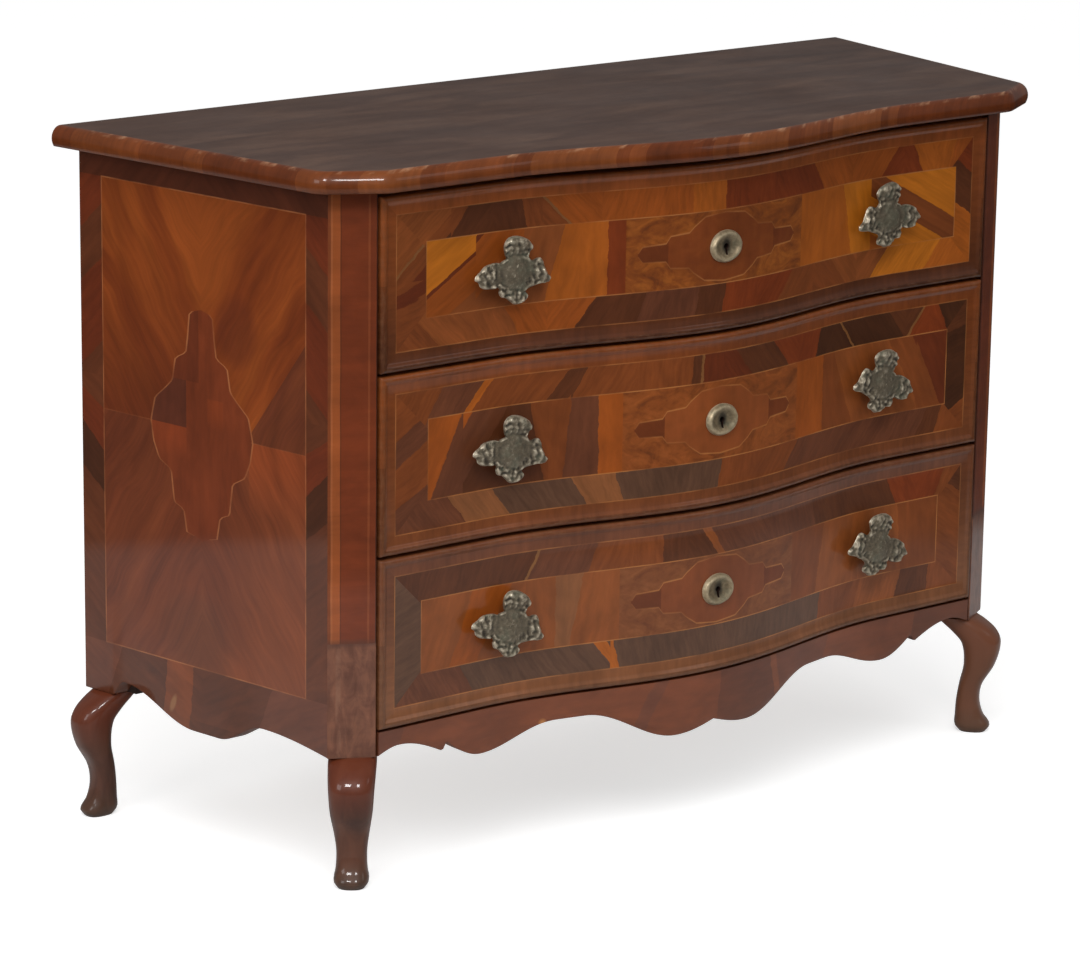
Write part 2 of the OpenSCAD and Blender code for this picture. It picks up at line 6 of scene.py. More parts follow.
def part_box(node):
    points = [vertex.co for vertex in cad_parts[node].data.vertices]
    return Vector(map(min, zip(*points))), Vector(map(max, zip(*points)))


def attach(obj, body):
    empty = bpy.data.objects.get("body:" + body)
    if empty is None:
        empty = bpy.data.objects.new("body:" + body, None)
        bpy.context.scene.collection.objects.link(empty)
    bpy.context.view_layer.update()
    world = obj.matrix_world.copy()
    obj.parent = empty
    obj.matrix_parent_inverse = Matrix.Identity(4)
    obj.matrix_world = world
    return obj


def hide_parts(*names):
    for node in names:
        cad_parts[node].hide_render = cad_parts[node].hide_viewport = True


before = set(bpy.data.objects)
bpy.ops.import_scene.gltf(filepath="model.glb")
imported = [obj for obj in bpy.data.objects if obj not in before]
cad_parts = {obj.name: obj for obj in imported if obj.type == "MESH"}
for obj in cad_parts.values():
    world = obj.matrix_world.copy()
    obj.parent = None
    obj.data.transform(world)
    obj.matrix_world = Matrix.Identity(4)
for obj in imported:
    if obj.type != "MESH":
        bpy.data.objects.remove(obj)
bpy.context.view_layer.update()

# The case in metres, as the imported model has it: the front looks to -Y
case = {
    "frontDepth": 0.418,      # back of the case to the drawer fronts beside the swell
    "swell": 0.046,
    "swellWidth": 0.62,
    "drawerHalf": 0.46,
    "cantX": 0.463,
    "cornerX": 0.511,
    "backX": 0.576,
    "sideDepth": 0.39,
    "legHeight": 0.15,
    "caseTop": 0.796,
    "middleY": 0.2465,        # the whole object stands centred over the origin
}
drawerNames = ["top", "middle", "bottom"]
drawerFoot = {"top": 0.589, "middle": 0.381, "bottom": 0.181}
drawerTall = {"top": 0.197, "middle": 0.204, "bottom": 0.196}


def tone(red, green, blue):
    # a colour as a picture shows it, turned into the linear values that a shader takes
    def flat(c):
        c = c / 255
        return c / 12.92 if c <= 0.04045 else ((c + 0.055) / 1.055) ** 2.4
    return (flat(red), flat(green), flat(blue), 1)


def operator(operation, swapped=False):
    def act(self, other=0.0):
        first, second = (other, self) if swapped else (self, other)
        return self.finish.node("Math", {"operation": operation}, {0: first, 1: second})
    return act


class Wire:
    # wraps a socket, so that shader maths reads as plain expressions
    def __init__(self, finish, socket):
        self.finish = finish
        self.socket = socket

    __add__ = operator("ADD")
    __radd__ = operator("ADD", True)
    __sub__ = operator("SUBTRACT")
    __rsub__ = operator("SUBTRACT", True)
    __mul__ = operator("MULTIPLY")
    __rmul__ = operator("MULTIPLY", True)
    __truediv__ = operator("DIVIDE")
    __rtruediv__ = operator("DIVIDE", True)
    __pow__ = operator("POWER")
    __lt__ = operator("LESS_THAN")
    __gt__ = operator("GREATER_THAN")
    __abs__ = operator("ABSOLUTE")
    least = operator("MINIMUM")
    most = operator("MAXIMUM")
    fraction = operator("FRACT")

    def vary(self, low, high):
        # noise lies mostly between 0.3 and 0.7
        return self.span(0.3, 0.7, low, high)

    def span(self, low=0.0, high=1.0, toLow=0.0, toHigh=1.0):
        return self.finish.node("MapRange", {}, {0: self, 1: low, 2: high, 3: toLow, 4: toHigh})

    def ramp(self, stops, interpolation="LINEAR"):
        return self.finish.node("ValToRGB", {"stops": stops, "interpolation": interpolation}, {0: self})

    def mix(self, factor, other, mode="MIX"):
        return self.finish.mix(factor, self, other, mode)

    def shaded(self, shade):
        # a colour made darker or lighter by a number
        level = self.finish.node("CombineColor", {}, {0: shade, 1: shade, 2: shade})
        return self.mix(1.0, level, "MULTIPLY")

    def grain(self, run, across, fine=220.0, depth=0.3):
        # a colour with streaks and small pores along the grain, and clouds where the wood has faded
        streak = self.finish.cloud((run * fine, across * fine * 0.12), 4.0, 0.6)
        cloudy = self.finish.cloud((run * 16, across * 11), 3.0, 0.6, 0.6)
        figured = self.finish.cloud((run * 48, across * 16), 3.0, 0.6, 1.2)
        fading = streak.vary(1 - depth * 0.6, 1 + depth * 0.45) * cloudy.vary(0.82, 1.18)
        return self.shaded(fading * figured.vary(1 - depth * 0.4, 1 + depth * 0.35))


class Finish:
    # one material, or the world, built node by node
    def __init__(self, name, owner=None):
        self.material = owner or bpy.data.materials.new(name)
        self.material.use_nodes = True
        self.tree = self.material.node_tree
        self.tree.nodes.clear()

    def node(self, kind, settings=None, inputs=None, out=0):
        made = self.tree.nodes.new("ShaderNode" + kind)
        for key, value in (settings or {}).items():
            if key == "stops":
                # a place with one level, or with a colour as the picture shows it
                made.color_ramp.elements.remove(made.color_ramp.elements[1])
                for k, (place, *shade) in enumerate(value):
                    stop = made.color_ramp.elements.new(place) if k else made.color_ramp.elements[0]
                    stop.position = place
                    stop.color = tone(*shade) if shade[1:] else (shade[0], shade[0], shade[0], 1)
            elif key == "interpolation":
                made.color_ramp.interpolation = value
            else:
                setattr(made, key, value)
        for key, value in (inputs or {}).items():
            if isinstance(value, Wire):
                self.tree.links.new(value.socket, made.inputs[key])
            else:
                made.inputs[key].default_value = value
        return Wire(self, made.outputs[out]) if made.outputs else None

    def mix(self, factor, first, second, mode="MIX"):
        # a colour of three numbers is meant as the picture shows it
        first, second = (tone(*c) if isinstance(c, tuple) and len(c) == 3 else c for c in (first, second))
        return self.node("Mix", {"data_type": "RGBA", "blend_type": mode},
                         {0: factor, 6: first, 7: second}, 2)

    def split(self, vector):
        first = self.node("SeparateXYZ", {}, {0: vector})
        return [Wire(self, socket) for socket in first.socket.node.outputs]

    def plan(self):
        # the piece's own sheet of veneer: metres along it and up it
        return self.split(self.node("UVMap", {"uv_map": "plan"}))[:2]

    def place(self, scale):
        # the place on the object, in metres times a scale for each axis
        spot = self.node("TexCoord", {}, {}, 3)
        return self.node("VectorMath", {"operation": "MULTIPLY"}, {0: spot, 1: scale})

    def metres(self):
        return self.split(self.place((1, 1, 1)))

    def cloud(self, where, detail=3.0, rough=0.55, warp=0.0):
        # noise at a place made of sockets, or at the place on the object times three scales
        if any(isinstance(part, Wire) for part in where):
            vector = self.node("CombineXYZ", {}, dict(enumerate(where)))
        else:
            vector = self.place(where)
        return self.node("TexNoise", {}, {"Vector": vector, "Scale": 1.0, "Detail": detail,
                                          "Roughness": rough, "Distortion": warp})

    def close(self, colour, rough, relief, depth, distance=0.0012, metallic=0.0, specular=0.5,
              coat=(0.0, 0.2)):
        # ends the material: its colour, roughness and relief, and what is the same all over it
        normal = self.node("Bump", {}, {"Height": relief, "Strength": depth, "Distance": distance})
        shader = self.node("BsdfPrincipled", {}, {
            "Base Color": colour, "Roughness": rough, "Normal": normal, "Metallic": metallic,
            "Specular IOR Level": specular, "Coat Weight": coat[0], "Coat Roughness": coat[1]})
        self.node("OutputMaterial", {}, {"Surface": shader})
        return self.material


# Woods of the veneers, as the picture shows them
wood = {
    "gold": (190, 106, 26),
    "amber": (168, 86, 26),
    "orange": (152, 74, 24),
    "tan": (140, 73, 34),
    "brown": (124, 62, 28),
    "red": (124, 52, 20),
    "wine": (104, 44, 20),
    "plum": (104, 56, 36),
    "dark": (92, 47, 25),
    "ash": (96, 63, 48),
    "dun": (137, 82, 50),
    "ebony": (72, 37, 19),
    "string": (184, 116, 66),
}


def bell(x):
    half = case["swellWidth"] / 2
    return (1 + cos(pi * x / half)) / 2 if abs(x) < half else 0


def bellSlope(x):
    half = case["swellWidth"] / 2
    if abs(x) >= half:
        return 0
    return case["swell"] * pi / case["swellWidth"] * sin(pi * x / half)


def frontPoint(x, out):
    # a point a given distance out from the serpentine front
    slope = bellSlope(x)
    length = hypot(1, slope)
    return (x + out * slope / length,
            case["middleY"] - case["frontDepth"] - case["swell"] * bell(x) - out / length)


def eased(a, b, share):
    if a[2] == 0 and b[2] == 0:
        return (1 - cos(pi * share)) / 2
    if a[2] == 1 and b[2] == 0:
        return sin(pi / 2 * share)
    return 1 - cos(pi / 2 * share)


def scallop(keys, share):
    # height of a scalloped edge above the legs, in metres
    last = [k for k in range(len(keys) - 1) if share >= keys[k][0] - 1e-9][-1]
    a = keys[last]
    b = keys[last + 1]
    return (a[1] + (b[1] - a[1]) * eased(a, b, (share - a[0]) / (b[0] - a[0]))) / 1000


def newMesh(name, points, faces):
    mesh = bpy.data.meshes.new(name)
    mesh.from_pydata(points, [], faces)
    return mesh


def added(name, data):
    made = bpy.data.objects.new(name, data)
    bpy.context.scene.collection.objects.link(made)
    return made


def makePiece(name, node, points, faces, body, looks, sheet=None, kinds=None, sharp=35):
    # one mesh piece in place of a node: looks are its finishes, kinds says which of them each face has,
    # and sheet gives each point its place on the veneer
    mesh = newMesh(name, points, faces)
    for look in looks.split():
        mesh.materials.append(finishes[look])
    for face, kind in zip(mesh.polygons, kinds or []):
        face.material_index = kind
    if sheet:
        layer = mesh.uv_layers.new(name="plan")
        for loop in mesh.loops:
            layer.data[loop.index].uv = sheet[loop.vertex_index]
    mesh.validate()
    mesh.shade_smooth()
    mesh.set_sharp_from_angle(angle=radians(sharp))
    piece = added(name, mesh)
    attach(piece, body)
    if node:
        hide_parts(node)
    return piece


def ringFaces(first, second, n):
    # faces from one closed ring of n points to another
    return [(first + i, first + (i + 1) % n, second + (i + 1) % n, second + i) for i in range(n)]


def stackFaces(count, n, capped=True):
    # faces of closed rings stacked on one another, with or without the two ends
    faces = [face for j in range(count - 1) for face in ringFaces(j * n, (j + 1) * n, n)]
    if capped:
        faces += [tuple(range(n - 1, -1, -1)), tuple(range((count - 1) * n, count * n))]
    return faces


def flipped(faces):
    return [face[::-1] for face in faces]


def makeSlab(name, node, body, columns, spots, looks, sharp):
    # a board of two sheets of points: spots(u, layer) lists a column of points, each with its place on
    # the veneer
    pairs = [pair for layer in (0, 1) for u in columns for pair in spots(u, layer)]
    across, size = len(columns), len(pairs) // 2
    up = size // across
    faces = []
    for first in (0, size):
        quads = [(a, a + up, a + up + 1, a + 1) for i in range(across - 1)
                 for a in range(first + i * up, first + i * up + up - 1)]
        faces += flipped(quads) if first else quads
    kinds = [0] * (len(faces) // 2) + [1] * (len(faces) // 2)
    rim = [i * up for i in range(across)] + [(across - 1) * up + j for j in range(1, up)]
    rim += [i * up + up - 1 for i in range(across - 2, -1, -1)] + list(range(up - 2, 0, -1))
    faces += [(b, a, a + size, b + size) for a, b in zip(rim, rim[1:] + rim[:1])]
    kinds += [0] * len(rim)
    return makePiece(name, node, [point for point, spot in pairs], faces, body, looks,
                     [spot for point, spot in pairs], kinds, sharp)


def turned(x, y, angle):
    # x and y turned by an angle in radians
    return x * cos(angle) - y * sin(angle), x * sin(angle) + y * cos(angle)


def carve(piece, cutters):
    # cuts closed shapes out of a piece and keeps the result as its mesh; a cut shows the piece's last finish
    for cutter in cutters:
        for finish in piece.data.materials:
            cutter.data.materials.append(finish)
        for face in cutter.data.polygons:
            face.material_index = len(piece.data.materials) - 1
        cut = piece.modifiers.new("cut", "BOOLEAN")
        cut.operation = "DIFFERENCE"
        cut.solver = "EXACT"
        cut.object = cutter
    bpy.context.view_layer.update()
    shaped = piece.evaluated_get(bpy.context.evaluated_depsgraph_get())
    mesh = bpy.data.meshes.new_from_object(shaped)
    piece.modifiers.clear()
    piece.data = mesh
    for cutter in cutters:
        bpy.data.objects.remove(cutter)


def boxCutter(low, high):
    points = [(x, y, z) for x in (low[0], high[0]) for y in (low[1], high[1]) for z in (low[2], high[2])]
    faces = [(0, 1, 3, 2), (4, 6, 7, 5), (0, 4, 5, 1), (2, 3, 7, 6), (0, 2, 6, 4), (1, 5, 7, 3)]
    return added("cutter", newMesh("cutter", points, faces))


def keyCutter(z, near, far):
    # a keyhole: round above, with a slot below
    radius, slotHalf, slotFoot = 0.0036, 0.0015, -0.010
    outline = [(radius * cos(radians(a)), radius * sin(radians(a)))
               for a in range(-60, 241, 15)]
    outline += [(-slotHalf, slotFoot), (slotHalf, slotFoot)]
    n = len(outline)
    points = [(x, y, z + h) for y in (near, far) for x, h in outline]
    faces = [tuple(range(n)), tuple(range(2 * n - 1, n - 1, -1))]
    faces += [(k, k + n, (k + 1) % n + n, (k + 1) % n) for k in range(n)]
    return added("cutter", newMesh("cutter", points, faces))


# Veneer patterns. A band is a row of pieces: where each starts in millimetres, how its joint leans, its wood,
# and "line" where a light line of stringing marks the joint
def band(along, across, row, low=-0.5):
    pieces = [piece.split() for piece in row.split(",")]
    places = [int(piece[0]) / 1000 for piece in pieces]
    leans = []
    woods = []
    for k, (start, lean, kind, *lined) in enumerate(pieces):
        # a joint leans by its own amount from half way to the joint before it
        middle = (places[k] + places[k - 1]) / 2 - low
        leans.append((min(0.999, max(0.001, middle)) if k else 0.0, 0.5 + float(lean) / 8))
        if lined:
            woods.append((places[k] - low - 0.0018, *(c * 0.72 for c in wood["string"])))
        woods.append((places[k] - low if k else 0.0, *wood[kind]))
    lean = ((along - low).ramp(leans, "CONSTANT") - 0.5) * 8
    # joints cut by hand wander a little
    wander = along.finish.cloud((along * 45, across * 45), 3.0, 0.7) - 0.5
    run = along - lean * across + wander * 0.009
    return (run - low).ramp(woods, "CONSTANT"), run


drawerVeneer = {
    "bead": 0.0065,           # moulded edge up to here, from the edge of the front
    "firstLine": 0.0215,
    "secondLine": 0.0555,
    "lineWidth": 0.0013,
    "bandMiddle": 0.038,      # middle of the banding, from the edge above and below
    "endMiddle": 0.43,        # and at the ends, from the middle of the front
    "burrHalf": 0.134,        # half length of the burr in the middle of the panel
    # half height of the stepped field round the keyhole, by distance from the middle
    "field": [(0.0, 0.040), (0.030, 0.037), (0.045, 0.027), (0.052, 0.0205), (0.077, 0.0185), (0.083, 0.0105),
              (0.113, 0.009), (0.120, 0.0)],
}
# left and right ends of the inner panels, and the tones of the cross banding below and above, which carry
# painted light: the top drawer's upper banding is painted lighter against the shade under the top board
panelEnds = {"top": (-0.397, 0.411), "middle": (-0.393, 0.406), "bottom": (-0.401, 0.400)}
crossTones = {
    "top": ((92, 46, 22), (150, 76, 34)),
    "middle": ((116, 62, 34), (126, 62, 26)),
    "bottom": ((128, 78, 52), (112, 60, 36)),
}
# how much each front is darkened by the light it stands in
frontShades = {"top": (0.84, 0.88, 0.82), "middle": (0.92, 0.96, 0.84), "bottom": (0.92, 0.98, 0.88)}
burrTones = {
    "top": ((108, 53, 23), (138, 70, 26), (164, 90, 34)),
    "middle": ((108, 54, 24), (138, 70, 30), (154, 82, 38)),
    "bottom": ((108, 58, 34), (124, 68, 38), (138, 80, 46)),
}
bandPieces = {
    "top": {
        "upper": "-500 0 tan, -375 1.15 brown line, -352 0.8 dark, -262 -0.3 brown, -222 -1 orange line, "
                 "-110 0.3 orange, -50 0 amber, 0 0 red, 165 -0.6 orange, 300 0.8 red, 345 -0.5 amber, "
                 "405 0.3 orange",
        "lower": "-500 0 brown, -395 -1 tan line, -280 -0.6 orange, -185 0.8 dark, -115 0.4 plum, "
                 "-40 0.2 dark, 0 0.2 red, 105 0.9 brown, 210 -0.9 tan, 282 0.9 gold, 375 0.8 amber",
        "left": "-500 0 brown, -30 0.3 wine, -12 0.4 brown, 12 0.87 tan line",
        "right": "-500 0 amber, -12 -0.6 dark, 36 -0.7 red",
        "panel": "-500 0 gold, -368 1.6 wine, -360 1.6 orange, -300 1 tan, -225 0.3 amber, "
                 "-158 0.02 red line, -134 0.03 tan line, 127 0 amber, 185 0.2 amber, 225 -0.2 gold, "
                 "310 -1.9 brown, 372 -1.9 gold",
    },
    "middle": {
        "upper": "-500 0 brown, -385 0.6 plum, -331 0.9 amber, -319 0.9 brown, -216 0.9 dark, "
                 "-190 0.6 brown, -45 0.1 dark, -30 0.1 wine line, 35 -0.8 dark, 98 -0.9 red, "
                 "172 0.3 ebony, 232 -0.8 ebony line, 318 -0.8 dark, 352 0.8 red line, 395 -0.5 ebony",
        "lower": "-500 0 plum, -355 -0.8 dun, -292 -0.8 ash, -190 -0.6 dun, -140 -0.3 ash, 0 0.2 brown, "
                 "125 0.9 plum, 240 0.9 plum, 365 0.6 dark, 392 0.4 brown",
        "left": "-500 0 plum, -50 0.5 brown, 0 0.6 plum, 30 0.6 brown",
        "right": "-500 0 brown, -50 0.5 ebony, 45 0.2 dark",
        "panel": "-500 0 orange, -371 0.46 plum, -318 0.8 dark, -245 -0.2 brown, -215 0.1 brown, "
                 "-205 0.1 plum, -166 0 orange, -134 0 tan, 127 0 orange, 185 0 brown, 225 -0.4 tan, "
                 "335 -0.6 brown, 375 -0.5 wine",
    },
    "bottom": {
        "upper": "-500 0 dark, -314 0.35 dark line, -246 0.5 plum line, -170 0.4 brown, -80 0 dark, "
                 "-13 -0.7 tan, -1 -0.7 plum, 175 -0.3 dark, 320 -0.5 red, 400 0.5 brown",
        "lower": "-500 0 plum, -338 -0.6 ash, -153 -0.8 amber, -137 -0.2 ash, 190 0.1 brown, 265 0.4 tan, "
                 "335 0.3 dark, 385 0.1 brown",
        "left": "-500 0 ash, 50 0.4 ash",
        "right": "-500 0 brown, 45 -0.6 dark",
        "panel": "-500 0 tan, -345 0.4 orange, -300 0.6 tan, -215 0 dun, -190 0.2 tan, -70 0 brown, "
                 "-33 0 brown, 70 0 brown, 190 0.2 tan, 335 -0.1 brown",
    },
}
fieldTones = {"top": (126, 60, 26), "middle": (142, 72, 35), "bottom": (130, 64, 32)}


def drawerFinish(name):
    finish = Finish(name + "FrontVeneer")
    v = drawerVeneer
    x, z = finish.plan()
    half = drawerTall[name] / 2
    fromEnd = case["drawerHalf"] - abs(x)
    fromEdge = half - abs(z)
    edge = fromEnd.least(fromEdge)
    isEnd = fromEnd < fromEdge

    def strip(row, along, across, cross, *figure):
        colour, run = band(along, across, bandPieces[name][row])
        return colour.grain(run, cross, *figure)

    upper = strip("upper", x, z - (half - v["bandMiddle"]), z)
    lower = strip("lower", x, z + (half - v["bandMiddle"]), z)
    left = strip("left", z, x + v["endMiddle"], x)
    right = strip("right", z, x - v["endMiddle"], x)
    panel = strip("panel", x, z, z, 90, 0.25)
    # the middle of the panel is burr, with a stepped field of plain wood round the keyhole
    low, middle, high = burrTones[name]
    burr = finish.cloud((x * 26, z * 40), 5.0, 0.62, 1.4)
    burrTone = burr.ramp([(0.36, *low), (0.5, *middle), (0.64, *high)])
    swirl = finish.cloud((x * 60, z * 75), 3.0, 0.6, 2.0)
    burrTone = burrTone.shaded(swirl.vary(0.88, 1.1))
    panel = panel.mix((abs(x) < v["burrHalf"]) * 0.85, burrTone)
    fieldHeight = (abs(x) * 5).ramp([(place * 5, height * 10) for place, height in v["field"]]) * 0.1
    inField = (abs(z) < fieldHeight) * (fieldHeight > 0.001)
    fieldTone = finish.mix(abs(x) > 0.080, fieldTones[name], (106, 48, 22))
    panel = panel.mix(inField * 0.85, fieldTone.grain(x, z, 60, 0.2))
    bands = lower.mix(z > 0, upper).mix(isEnd, left.mix(x > 0, right))
    run = x + isEnd * (z - x)
    ribs = finish.cloud((run * 120, edge * 22), 3.0, 0.6)
    patches = finish.cloud((run * 9, edge * 5), 1.0)
    # the banding's tone from below to above, with painted light lifting the top drawer's upper banding
    cross = finish.mix(z.span(-half + 0.03, half - 0.03), *crossTones[name])
    faded = ribs.vary(0.8, 1.12) * patches.span(0.35, 0.65, 0.82, 1.12)
    # painted light and shade: the banding is lighter on the left and darker on the right, and its lower
    # moulded edge is darker
    lowerBeadShade = 1 - (edge < v["bead"]) * (z < 0) * 0.3
    cross = cross.shaded(faded * x.span(-0.46, 0.46, 1.12, 0.95) * lowerBeadShade)
    endLeft, endRight = panelEnds[name]
    fromPanelEnd = (x - endLeft).least(endRight - x)
    fromPanel = fromPanelEnd.least(fromEdge - v["secondLine"])
    colour = bands.mix(fromPanel > 0, panel)
    colour = colour.mix(edge < v["firstLine"], cross)
    # light lines of stringing, worn away in places
    wear = finish.cloud((x * 14, z * 14))
    firstLine = abs(edge - v["firstLine"]) < v["lineWidth"] * 0.5
    secondLine = abs(fromPanel) < v["lineWidth"] * 0.5
    fieldLine = (abs(abs(z) - fieldHeight) < 0.0009) * (fieldHeight > 0.002)
    lines = (firstLine * 0.75).most(secondLine).most(fieldLine * (fromPanel > 0) * 0.8)
    colour = colour.mix(lines * wear.span(0.38, 0.6, 0.12, 0.85), wood["string"])
    # the moulded edge has pale patches on its crest: wear, and a painted highlight
    wearAndHighlight = finish.cloud((run * 60, edge * 200), 4.0, 0.7)
    crest = (edge < v["bead"]) * wearAndHighlight.span(0.45, 0.75, 0.0, 0.55)
    colour = colour.mix(crest, (128, 86, 62))
    colour = colour.mix(1.0, frontShades[name] + (1,), "MULTIPLY")
    height = finish.cloud((x * 160, z * 160))
    ripple = finish.cloud((x * 9, z * 9), 2.0)
    relief = height * 0.15 + ripple + lines * 0.15
    return finish.close(colour, height.span(0.2, 0.8, 0.35, 0.48), relief, 0.25, specular=0.18,
                        coat=(0.34, 0.09))


def plainWood(name, low, middle, high, stretch, roughness, depth=0.25):
    # solid wood: long figure along one axis, pores, and grubby clouds
    finish = Finish(name)
    figure = finish.cloud(stretch, 5.0, 0.62, 0.6)
    pores = finish.cloud(tuple(6 * s for s in stretch), 3.0, 0.6)
    grime = finish.cloud((7, 7, 7), 3.0, 0.6)
    colour = figure.ramp([(0.28, *low), (0.5, *middle), (0.72, *high)])
    colour = colour.shaded(grime.vary(0.8, 1.08) * pores.span(0.3, 0.6, 0.86, 1.04))
    rough = pores.vary(roughness + 0.08, roughness - 0.06)
    return finish.close(colour, rough, figure + pores * 0.5, depth, specular=0.4)


sideVeneer = {
    "rear": 0.036,            # edges of the panel inside the banding, and its middle
    "front": 0.357,
    "foot": 0.213,
    "head": 0.764,
    "middle": 0.1945,
    "joint": 0.493,           # where the upper and lower veneers meet
    "waist": 0.024,           # half width of the pieces in the heart
    "shoulder": 0.548,        # where the heart narrows to its neck
    "corner": 0.078,          # where the wedges of the corners start
    "lineWidth": 0.0015,
    "chip": (0.146, 0.162),
}
# the cartouche: height on the side, half width
cartouche = [(0.366, 0.0), (0.371, 0.024), (0.397, 0.029), (0.403, 0.044), (0.440, 0.049), (0.450, 0.068),
             (0.470, 0.077), (0.493, 0.081), (0.521, 0.074), (0.534, 0.058), (0.545, 0.046), (0.572, 0.041),
             (0.580, 0.024), (0.600, 0.021), (0.628, 0.018), (0.632, 0.0)]


def sideFinish():
    finish = Finish("sideVeneer")
    v = sideVeneer
    x, z = finish.plan()
    off = x - v["middle"]
    q = abs(off)
    h = abs(z - v["joint"])
    isUpper = z > v["joint"]
    # matched veneers: the figure runs from the middle out to the corners, with darker and paler places
    drift = finish.cloud((x * 7, z * 7), 2.0) - 0.5
    s = h - q * 1.45 + drift * 0.09
    broad = finish.cloud((s * 7, isUpper * 3.1 + off * 3.5), 2.5, 0.55, 0.8)
    fine = finish.cloud((s * 26, isUpper * 5.7 + off * 9), 3.0, 0.6, 0.6)
    figure = broad * 0.75 + fine * 0.25
    upperTone = figure.ramp([(0.36, 106, 45, 16), (0.48, 126, 58, 20), (0.58, 140, 68, 24)])
    lowerTone = figure.ramp([(0.36, 98, 46, 24), (0.5, 108, 52, 27), (0.62, 120, 60, 31)])
    colour = lowerTone.mix(isUpper, upperTone)
    colour = colour.mix((off < 0) * isUpper * z.span(0.5, 0.66, 0.85, 0.0), (98, 42, 18))
    belly = (((off + 0.01) / 0.06) ** 2 + ((z - 0.25) / 0.05) ** 2).span(0.3, 1.4, 0.55, 0.0)
    colour = colour.mix(belly, (84, 46, 28))
    pale = off.span(0.02, 0.09) * z.span(0.24, 0.40, 0.7, 0.3) * z.span(0.38, 0.45, 1.0, 0.0)
    colour = colour.mix(pale, (134, 68, 34))
    wedge = (off > v["corner"]) * isUpper * (h < (off - 0.070) * 1.35)
    colour = colour.mix(wedge * 0.75, (88, 44, 27))
    leaf = (((off - 0.055) * 1.3) ** 2 + (z - 0.617) ** 2).span(0.0009, 0.0022, 0.55, 0.0)
    colour = colour.mix(leaf, (98, 43, 20))
    glow = (off > 0.075) * (z < v["joint"]) * z.span(0.41, 0.47, 0.0, 0.7)
    colour = colour.mix(glow, (140, 64, 28))
    colour = colour.grain(s, off, 130, 0.2)
    # the heart in the middle, cut along the cartouche
    width = z.ramp([(0.0, 0.0)] + [(level, reach * 10) for level, reach in cartouche]) * 0.1
    inside = (q < width) * (width > 0.001)
    darkPart = (off < -v["waist"]) * isUpper * (z < v["shoulder"])
    neck = (off < -0.004) * (z > v["shoulder"])
    heart = finish.mix(darkPart * 0.8, (114, 51, 24), (80, 40, 26))
    heart = heart.mix(neck * 0.5, (86, 38, 20))
    patch = (off < -v["waist"]) * (z < v["joint"]) * z.span(0.456, 0.476)
    heart = heart.mix(patch * 0.5, (134, 58, 26))
    patch = (off > 0.010) * (off < 0.034) * z.span(0.496, 0.512) * (z < 0.532)
    heart = heart.mix(patch * 0.5, (132, 58, 24))
    heart = heart.grain(off, z, 110, 0.2)
    colour = colour.mix(inside, heart)
    wear = finish.cloud((x * 22, z * 22))
    outline = (abs(q - width) < 0.0011) * (width > 0.012)
    level = (abs(z - v["joint"]) < 0.0007) * (q > v["corner"])
    # cross banding round the panel
    fromSide = (x - v["rear"]).least(v["front"] - x)
    fromEnd = (z - v["foot"]).least(v["head"] - z)
    fromPanel = fromSide.least(fromEnd)
    inPanel = fromPanel > 0
    columns = ("100 0.8 plum, 190 0.5 dark, 280 0.8 dark, 400 0.8 ebony, 450 0.9 wine, 500 0.6 dark, "
               "560 -0.9 wine, 660 -0.9 dark, 720 -0.9 wine")
    rows = "-100 0 plum, 55 0.4 dark, 135 0.1 brown, 178 0.1 dark, 300 0.4 plum"
    column, columnRun = band(z, q - 0.17, columns, 0.0)
    row = band(x, z - 0.2, rows, -0.2)[0]
    border = finish.mix(z < v["foot"], column.mix(z > v["head"], (84, 40, 22)), row)
    border = border.grain(columnRun, x, 90, 0.25)
    # a chip low on the banding
    above = z - v["chip"][1]
    beside = x - v["chip"][0] - above * 0.35
    chip = (((beside / 0.0045) ** 2 + (above / 0.011) ** 2) ** 0.5).span(0.6, 1.2, 0.8, 0.0)
    border = border.mix(chip, (150, 104, 66))
    colour = border.mix(inPanel, colour)
    frameLine = (abs(fromPanel) < v["lineWidth"] * 0.5) * 0.85
    lines = (outline * inPanel).most(frameLine).most(level * inPanel * 0.3)
    colour = colour.mix(lines * wear.span(0.38, 0.6, 0.2, 0.85), (168, 104, 62))
    height = finish.cloud((x * 150, z * 150))
    ripple = finish.cloud((x * 7, z * 7), 2.0)
    relief = height * 0.15 + ripple + lines * 0.15
    return finish.close(colour, height.span(0.2, 0.8, 0.38, 0.48), relief, 0.22, specular=0.15,
                        coat=(0.56, 0.05))


postVeneer = {"width": 0.0556, "foot": 0.283}


